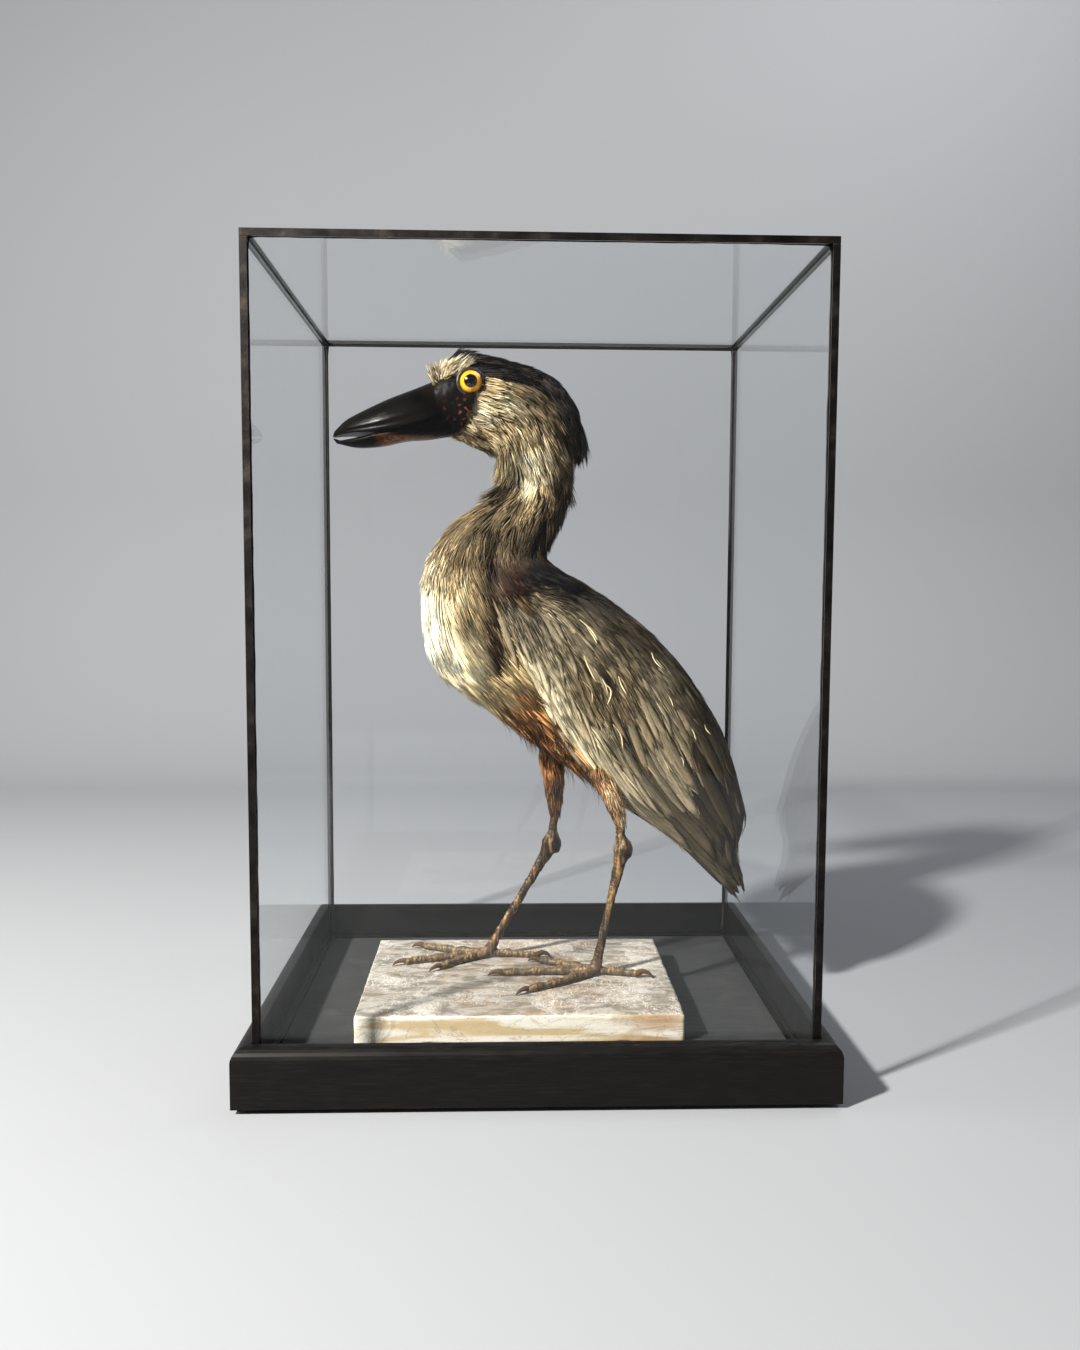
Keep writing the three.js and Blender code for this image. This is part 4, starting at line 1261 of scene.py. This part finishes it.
def horn_look(name, dark, warm, glossy):
    """Horn: near black, with fine lengthwise lines, brown where thin, and worn patches that shine less."""
    look = Look(name, Specular_IOR_Level=0.035)
    around, share, _ = look.parts(look.node("ShaderNodeUVMap", {"uv_map": "Length"}))
    lines = look.noise(1.0, 3.0, 0.6, where=look.vector(around * 60.0, share * 3.0))
    cloud = look.noise(60.0, 3.0)
    scuff = look.noise(380.0, 4.0, 0.6, 0.5)
    x, z = look.millimetres("xz")
    chin = (1.0 - (z + scuff * 6.0).step(415.5, 418.0)) * (x + cloud * 20.0).step(-104.0, -92.0)
    chin = chin * z.step(300.0, 350.0)  # the claws lie far below the bill
    colour = look.coated(
        dark,
        (warm, lines.step(0.45, 0.75) * 0.55),
        (srgb(134, 88, 52), chin * (0.3 + scuff.step(0.42, 0.58) * 0.65)),
        (warm, cloud.step(0.5, 0.72) * 0.4),
        (srgb(76, 66, 52), (1.0 - lines).step(0.62, 0.8) * 0.2),
    )
    look.finish(colour, scuff * 0.2 + cloud * 0.1 + glossy, lines * 0.8 + scuff * 0.3, 0.55, 0.4)
    return look


def build_bill():
    """Both halves of the bill, in dark horn."""
    look = horn_look("bill_horn", srgb(8, 7, 6), srgb(22, 16, 11), 0.08)
    place(bill_part("bill_top", RIDGE, 1.0, 0.25, True), [look], "bill_horn", "bill_upper")
    place(bill_part("bill_bottom", UNDER, 0.89, -0.25, False), [look], "bill_horn", "bill_lower")


def eye_look():
    """A glass eye: black pupil, yellow iris in fine rays with a darker rim, under a clear coat."""
    look = Look("eye_glass", Roughness=0.12, Coat_Weight=0.5, Coat_Roughness=0.02, Specular_IOR_Level=0.4)
    x, z = look.millimetres("xz")
    x, z = x - EYE["x"], z - EYE["z"]
    out = (x * x + z * z) ** 0.5
    rays = look.noise(1.0, 3.0, 0.6, where=look.vector(z.math("ARCTAN2", x) * 9.0, out * 0.25))
    blotch = look.noise(260.0, 2.0)
    ochres = (0.35, srgb(196, 120, 12)), (0.5, srgb(238, 168, 18)), (0.66, srgb(250, 202, 48))
    iris = look.coated(
        look.ramp(rays * 0.6 + blotch * 0.4, *ochres),
        (srgb(138, 62, 8), out.step(6.0, 7.6) * 0.85),
        (srgb(170, 100, 14), (1.0 - out.step(4.3, 5.4)) * 0.5),
    )
    colour = look.coated(srgb(5, 4, 4), (iris, out.step(4.35, 4.7)), (srgb(14, 11, 9), out.step(7.5, 8.0)))
    look.feed(look.shader.inputs["Base Color"], colour)
    return look


def build_eyes():
    """Each eye is a ball with a slight dome over its middle; its pole looks outwards, and a warty ring rims it."""
    look, lids = eye_look(), face_ring_look()
    lean, turn = grid(np.linspace(0.02, PI - 0.02, 60), np.linspace(0, 2 * PI, 64, endpoint=False))
    around, small = grid(np.linspace(0, 2 * PI, 140, endpoint=False), np.linspace(0, 2 * PI, 22, endpoint=False))
    warts = np.stack([np.cos(around), np.sin(around), 0.35 * np.cos(small)], -1)
    wide = 1.25 + 0.25 * np.sin(around - 0.6) + 0.16 * wave_noise(warts, 0.07, 95)

    def about_eye(side, away, way, out):
        """Points a distance away from the eye's middle in side view, out from the midline on one side."""
        x, z = EYE["x"] + away * np.cos(way), EYE["z"] + away * np.sin(way)
        return np.stack([x, MIDLINE + side * out, z], -1)

    for side, name in SIDES:
        r = EYE["r"] + 0.6 * bump_at(lean, 0, 0.6)
        ball = about_eye(side, r * np.sin(lean), turn, EYE["out"] + r * np.cos(lean))
        place(shell(f"eye_ball_{name}", *closed_tube(ball)), [look], "eye_glass", f"eye_{name}")
        deep = EYE["out"] + 3.9 + 0.9 * wide * np.sin(small) - 1.2 * np.cos(around)
        ring = about_eye(side, 8.7 + wide * np.cos(small), around, deep)
        rows, columns = around.shape
        faces = grid_faces(rows + 1, columns, wrap=True) % around.size
        place(shell(f"eyelid_{name}", ring.reshape(-1, 3), faces), [lids], "bill_horn")


def face_ring_look():
    """The warty black rim of an eye."""
    look = Look("eyelid_skin", Specular_IOR_Level=0.5)
    warts = look.noise(700.0, 3.0, 0.6)
    colour = look.mix(warts.step(0.5, 0.75), srgb(20, 18, 17), srgb(58, 52, 46))
    look.finish(colour, warts * 0.4 + 0.25, warts, 0.5, 0.4)
    return look


CLAW_ROWS, CLAW_SIDES = 34, 18


def build_claws():
    """Claws: tubes that shrink along an arch from the toe's end to a fine point, each keeled underneath."""
    look = horn_look("claw_horn", srgb(66, 50, 36), srgb(142, 116, 82), 0.25)
    for side, leg in LEGS.items():
        foot = np.array(leg["foot"][:2])
        for toe in TOES:
            tip = np.array(leg["toes"][toe], float)
            way = (tip - foot) / np.linalg.norm(tip - foot)
            reach, high, r = (11.5, 6.0, 1.9) if toe == "hind" else (9.6, 4.6, 1.6)
            out = np.array([-0.6, 0.12 * reach, 0.38 * reach, 0.75 * reach, reach])
            arch = SLAB_TOP + np.array([2.6, 3.4, high - 1.2, high - 2.2, 0.5])
            line = np.column_stack([tip + way * out[:, None], arch])
            rings = tube_rings(line, np.array([1.16, 1.12, 0.95, 0.65, 0.2]) * r, CLAW_ROWS, CLAW_SIDES)
            growth = np.linspace(0, 1, CLAW_ROWS)[:, None, None]
            middle = rings.mean(1, keepdims=True)
            rings = middle + (rings - middle) * (1 + 0.03 * np.sin(growth * 40))
            rings[..., 2] = np.maximum(rings[..., 2], SLAB_TOP + 0.03)
            piece = shell(f"talon_{side}_{toe}", *closed_tube(rings))
            add_length(piece, CLAW_ROWS + 2, CLAW_SIDES)
            place(piece, [look], "claw_horn", f"claw_{side}_{toe}")


# ------------------------------------------------------------------ the slab and the case


def marble_look():
    """Old white marble: cream cloudy body, brown stains from the feet, grey veins, pale scratches on the top."""
    look = Look("marble", Specular_IOR_Level=0.4)
    (x,) = look.millimetres("x")
    cloud = look.noise(22.0, 5.0, 0.58, 0.8)
    stain = look.noise(34.0, 7.0, 0.7, 1.6)
    grain = look.noise(700.0, 4.0, 0.65)
    strata = look.noise(26.0, 6.0, 0.62, 1.0, look.place_at((0.35, 0.5, 3.4), (0.05, 0.03, 0.0)))
    streak = look.noise(130.0, 6.0, 0.7, 0.9, look.place_at((0.4, 1, 1)))
    vein = abs(look.noise(13.0, 6.0, 0.62, 1.8, look.place_at((1, 1, 2.6), (0.3, 0.2, 0.5))) - 0.5)
    scratch = abs(look.noise(70.0, 3.0, 0.6, 2.2, look.place_at((1.6, 0.7, 1), (0, 0, 0.5))) - 0.5)
    up = look.parts(look.node("ShaderNodeNewGeometry", output=1))[2].step(0.6, 0.9)
    pale = look.mix(strata.step(0.46, 0.62), srgb(206, 202, 190), srgb(176, 156, 120))
    top = look.mix(streak.step(0.38, 0.62), srgb(164, 159, 150), srgb(104, 98, 88))
    top = look.mix(cloud.step(0.54, 0.66) * 0.5, top, srgb(196, 191, 181))
    rust = (x - 2.0).bell(0.0, 60.0) * stain.step(0.4, 0.6)
    corner = (x - 80.0).bell(0.0, 24.0) * strata.step(0.36, 0.5) * (1.0 - up)
    colour = look.coated(
        look.mix(up, pale, top),
        (srgb(122, 104, 78), stain.step(0.53, 0.68) * up * 0.45),
        (srgb(128, 98, 64), rust * up * 0.5),
        (srgb(132, 116, 92), (1.0 - vein.step(0.0, 0.02)) * 0.5),
        (srgb(236, 232, 222), (1.0 - scratch.step(0.0, 0.02)) * up * cloud.step(0.42, 0.56) * 0.7),
        (srgb(150, 112, 66), corner * 0.8),
        (srgb(166, 138, 96), stain.step(0.6, 0.7) * (1.0 - up) * 0.6),
        (srgb(116, 100, 76), grain.step(0.56, 0.7) * 0.35),
    )
    look.finish(colour, stain * 0.35 + grain * 0.15 + 0.28, stain * 0.5 + grain * 0.3, 0.35, 0.6)
    return look


SLAB_MIDDLE, SLAB_HALF = np.array([-10.5, -6.0, 22.0]), np.array([108.0, 78.0, 10.0])
SLAB_GRID = (150, 110, 16)  # points along X, Y and Z
ROUNDING = 1.8


def build_slab():
    """The marble slab: a rounded block, its sides hand-dressed, its arrises chipped.

    Each point starts on a cube's face; the rounding is the offset of an inner box."""
    sides = []
    for axis in range(3):
        others = [k for k in range(3) if k != axis]
        for sign in (-1, 1):
            u, v = grid(*(np.linspace(-1, 1, SLAB_GRID[k]) for k in others))
            u, v = np.sin(u * PI / 2) * 0.35 + u * 0.65, np.sin(v * PI / 2) * 0.35 + v * 0.65
            p = np.empty(u.shape + (3,))
            p[..., axis], p[..., others[0]], p[..., others[1]] = sign, u, v
            sides.append(((p * SLAB_HALF).reshape(-1, 3), grid_faces(*u.shape), ()))
    p, faces, _ = joined(sides)
    inner = np.clip(p, -(SLAB_HALF - ROUNDING), SLAB_HALF - ROUNDING)
    out = p - inner
    p = inner + unit(out) * ROUNDING
    arris = np.sort(np.abs(out), 1)[:, 1] > 0.6
    where = p + SLAB_MIDDLE
    chips = 1.5 * ease(0.25, 0.8, wave_noise(where, 5.0, 97)) + 0.25 * ease(-0.2, 0.6, wave_noise(where, 1.6, 98))
    rough = 0.18 * wave_noise(where, 3.5, 99) * (np.abs(unit(out)[:, 2]) < 0.7) + 0.05 * wave_noise(where, 12.0, 100)
    p = p - unit(out) * (np.where(arris, chips, 0) + 0.18 + rough)[:, None]
    piece = shell("slab", p + SLAB_MIDDLE, faces, merge_mm=0.01)
    place(piece, [marble_look()], "marble", "marble_slab")


def give(look, *nodes):
    """A carried-over node's own solids in a better finish."""
    for name in nodes:
        for held in NODES[name].material_slots:
            held.material = look.material


def metal_look():
    """Dark blackened lead: brown-black clouds with grey-brown flecks, rougher in patches."""
    look = Look("case_edging", Metallic=0.85, Specular_IOR_Level=0.5)
    cloud = look.noise(90.0, 4.0, 0.6)
    pits = look.noise(800.0, 4.0, 0.65)
    colour = look.ramp(cloud, (0.3, srgb(14, 12, 11)), (0.55, srgb(28, 25, 23)), (0.75, srgb(52, 46, 40)))
    colour = look.mix(pits.step(0.62, 0.76) * 0.3, colour, srgb(84, 76, 66))
    look.finish(colour, cloud * 0.3 + pits * 0.2 + 0.22, pits * 0.4 + cloud, 0.4, 0.5)
    return look


def ebony_look():
    """Ebonised wood under worn polish: brown-black with faint grain along X and Y, dust in the pores."""
    look = Look("ebonised_wood", Specular_IOR_Level=0.15)
    grain = look.noise(900.0, 3.0, 0.6, 0.3, look.place_at((0.06, 0.06, 1)))
    cloud = look.noise(40.0, 4.0)
    scuff = look.noise(300.0, 5.0, 0.65, 0.8)
    colour = look.mix(grain.step(0.4, 0.7), srgb(9, 8, 8), srgb(18, 15, 13))
    colour = look.mix(scuff.step(0.64, 0.82) * 0.14, colour, srgb(46, 40, 34))
    look.finish(colour, cloud * 0.2 + scuff * 0.08 + 0.26, grain * 0.6 + scuff * 0.4, 0.04, 0.2)
    return look


def floor_look():
    """The tray's floor: grey painted board with brush lines and dust."""
    look = Look("tray_board", Specular_IOR_Level=0.2)
    brush = look.noise(420.0, 3.0, 0.6, where=look.place_at((0.05, 1, 1)))
    dust = look.noise(60.0, 5.0, 0.65)
    colour = look.mix(brush.step(0.35, 0.7), srgb(40, 41, 42), srgb(50, 50, 50))
    colour = look.mix(dust.step(0.5, 0.75) * 0.25, colour, srgb(84, 82, 76))
    look.finish(colour, dust * 0.3 + 0.5, brush, 0.3, 0.3)
    return look


def glass_look():
    """A thin old pane: light goes through, and a share that grows with the fifth power of the slant is mirrored."""
    look = Look("glass", Metallic=1.0, Roughness=0.03, Base_Color=(0.9, 0.93, 0.92))
    clear = look.node("ShaderNodeBsdfTransparent", None, {0: (0.982, 0.986, 0.99)})
    facing = look.node("ShaderNodeLayerWeight", None, {"Blend": 0.5}, output=1)
    smudge = look.noise(14.0, 5.0, 0.62, 0.7)
    share = facing**5.0 * 0.55 + smudge.step(0.6, 0.85) * 0.012 + 0.02
    pane = look.node("ShaderNodeMixShader", None, {0: share, 1: clear, 2: Value(look, look.shader.outputs[0])})
    look.feed(look.output.inputs["Surface"], pane)
    return look


BEAD_GAP = 0.06  # how far a bead stands off the panes


def build_beads():
    """Dark putty beads in the inner corners of the glass, down each upright and round the top.

    A quarter circle whose radius wavers along the corner is carried from end to end of it."""
    low_x, high_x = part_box("glass_left")[1][0] / MM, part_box("glass_right")[0][0] / MM
    low_y, high_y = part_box("glass_front")[1][1] / MM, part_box("glass_back")[0][1] / MM
    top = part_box("glass_top")[0][2] / MM
    runs = [((x, y, 18), (x, y, top - 0.2)) for x in (low_x, high_x) for y in (low_y, high_y)]
    runs += [((low_x, y, top), (high_x, y, top)) for y in (low_y, high_y)]
    runs += [((x, low_y, top), (x, high_y, top)) for x in (low_x, high_x)]
    middle = np.array([(low_x + high_x) / 2, (low_y + high_y) / 2, 250.0])
    turn = np.linspace(0, PI / 2, 7)[None, :]
    t = np.linspace(0.001, 0.999, 150)[:, None]
    beads = []
    for k, (start, end) in enumerate(runs):
        start, end = np.array(start), np.array(end)
        line = start + (end - start) * t
        run = np.abs(end - start).argmax()
        ins = np.sign(middle - (start + end) / 2)
        r = (1.2 if run == 2 else 0.7) + 0.3 * wave_noise(line, 9.0, 110 + k)[:, None]
        r = r + 0.9 * bump_at(np.minimum(t, 1 - t), 0, 0.012)
        ring = np.repeat(line[:, None], turn.size + 1, 1)
        across = [axis for axis in range(3) if axis != run]
        for axis, share in zip(across, (np.cos(turn), np.sin(turn))):
            ring[:, :, axis] += ins[axis] * (BEAD_GAP + np.concatenate([r * share, 0 * r], 1))
        beads.append(closed_tube(ring))
    place(shell("putty_beads", *joined(beads)), [putty_look()], "edging")


def putty_look():
    """Old black putty: matt, crumbly, with brown flecks."""
    look = Look("putty", Specular_IOR_Level=0.25)
    crumbs = look.noise(600.0, 4.0, 0.6)
    cloud = look.noise(50.0, 3.0)
    colour = look.mix(cloud.step(0.4, 0.7), srgb(12, 10, 9), srgb(34, 26, 20))
    colour = look.mix(crumbs.step(0.6, 0.75) * 0.35, colour, srgb(78, 60, 44))
    look.finish(colour, crumbs * 0.3 + 0.45, crumbs, 0.4, 0.4)
    return look


def finish_case():
    """The case keeps its solids, in their own finishes."""
    sides = ("front", "back", "left", "right")
    corners = [f"upright_{a}_{b}" for a in sides[:2] for b in sides[2:]]
    give(metal_look(), *(f"{part}_{side}" for part in ("channel", "top_edge") for side in sides), *corners)
    give(ebony_look(), *(f"moulding_{side}" for side in sides), "base_foot")
    give(floor_look(), "tray_floor")
    give(glass_look(), *(f"glass_{side}" for side in (*sides, "top")))


# ------------------------------------------------------------------ room, light and camera

FLOOR_END, BEND, WALL_HIGH = 900, 500, 1500  # the sweep's flat floor ends, then bends by this radius into a wall
LENS, SENSOR = 29.16, 36.0
EYE_POINT = (-20.2, -775.3, 308.5)
LAMPS = {  # place, aim, side in metres, watts, colour
    "key": ((-1130, -1000, 1250), (0, 0, 230), 0.11, 128, (1.0, 0.965, 0.9)),
    "fill": ((1100, -900, 700), (0, 0, 250), 0.9, 1.5, (0.92, 0.96, 1.0)),
    "wall_wash": ((900, 500, 1700), (500, 1300, 300), 1.0, 15, (1, 1, 1)),
}


def build_room():
    """A pale sweep: a floor that turns up into a wall along a quarter circle."""
    look = Look("backdrop", Roughness=0.9, Specular_IOR_Level=0.2)
    colour = look.mix(look.noise(3.0, 3.0) * 0.2, srgb(136, 138, 142), srgb(129, 132, 137))
    look.feed(look.shader.inputs["Base Color"], colour)
    run = np.linspace(-1300, FLOOR_END, 40)
    bend = np.linspace(0, PI / 2, 24)[1:]
    wall = np.linspace(0, WALL_HIGH, 20)[1:]
    y = np.concatenate([run, FLOOR_END + BEND * np.sin(bend), FLOOR_END + BEND + 0 * wall])
    z = np.concatenate([0 * run, BEND * (1 - np.cos(bend)), BEND + wall])
    x = np.linspace(-2600, 2600, 60)
    points = np.stack(np.broadcast_arrays(x[None, :], y[:, None], z[:, None]), -1)
    sweep = make_mesh("sweep", points.reshape(-1, 3), grid_faces(len(y), len(x)))
    sweep.data.materials.append(look.material)


def stand(name, data, axes, at):
    """Sets a lamp or a camera down at a place, its own axes given as columns."""
    thing = bpy.data.objects.new(name, data)
    bpy.context.collection.objects.link(thing)
    pose = np.eye(4)
    pose[:3, :3], pose[:3, 3] = axes, np.array(at) * MM
    thing.matrix_world = Matrix(pose.tolist())
    return thing


def turned(axis, degrees):
    """A turn about an axis of the world, counterclockwise as seen from its tip."""
    return np.array(Matrix.Rotation(np.radians(degrees), 3, axis))


def set_stage():
    """Studio light and the camera."""
    build_room()
    world = bpy.data.worlds.new("studio")
    world.use_nodes = True
    sky = world.node_tree.nodes["Background"].inputs
    sky["Color"].default_value, sky["Strength"].default_value = (0.91, 0.955, 1.0, 1), 0.17
    bpy.context.scene.world = world
    bpy.context.scene.view_settings.view_transform = "Standard"
    for name, (at, to, size, watts, colour) in LAMPS.items():
        data = bpy.data.lights.new(name, "AREA")
        data.shape, data.size, data.energy, data.color = "SQUARE", size, watts, colour
        back = unit(np.subtract(at, to))
        side = unit(np.cross([0, 0, 1], back))
        stand(name, data, np.column_stack([side, np.cross(back, side), back]), at)
    data = bpy.data.cameras.new("camera")
    data.lens, data.sensor_width = LENS, SENSOR
    data.clip_start, data.clip_end = 0.01, 20
    axes = turned("Z", -1.798) @ turned("X", -4.521) @ turned("Y", -0.250)
    axes = np.column_stack([axes[:, 0], axes[:, 2], -axes[:, 1]])
    bpy.context.scene.camera = stand("camera", data, axes, EYE_POINT)


soft = plume_look("soft_plumage", 0.35, 0.0, 0.6, 0.14)
black = plume_look("crest_plumage", 0.25, 0.0, 0.4, 0.14)
vane = plume_look("vane_plumage", 0.8, 0.55, 0.55, 0.16)
build_skin()
build_coat(soft, black)
for side, name in SIDES:
    build_wing(side, f"wing_{name}", soft, vane)
build_worn_edges(soft)
build_tail(soft, vane)
build_bill()
build_eyes()
build_claws()
build_slab()
build_beads()
finish_case()
set_stage()
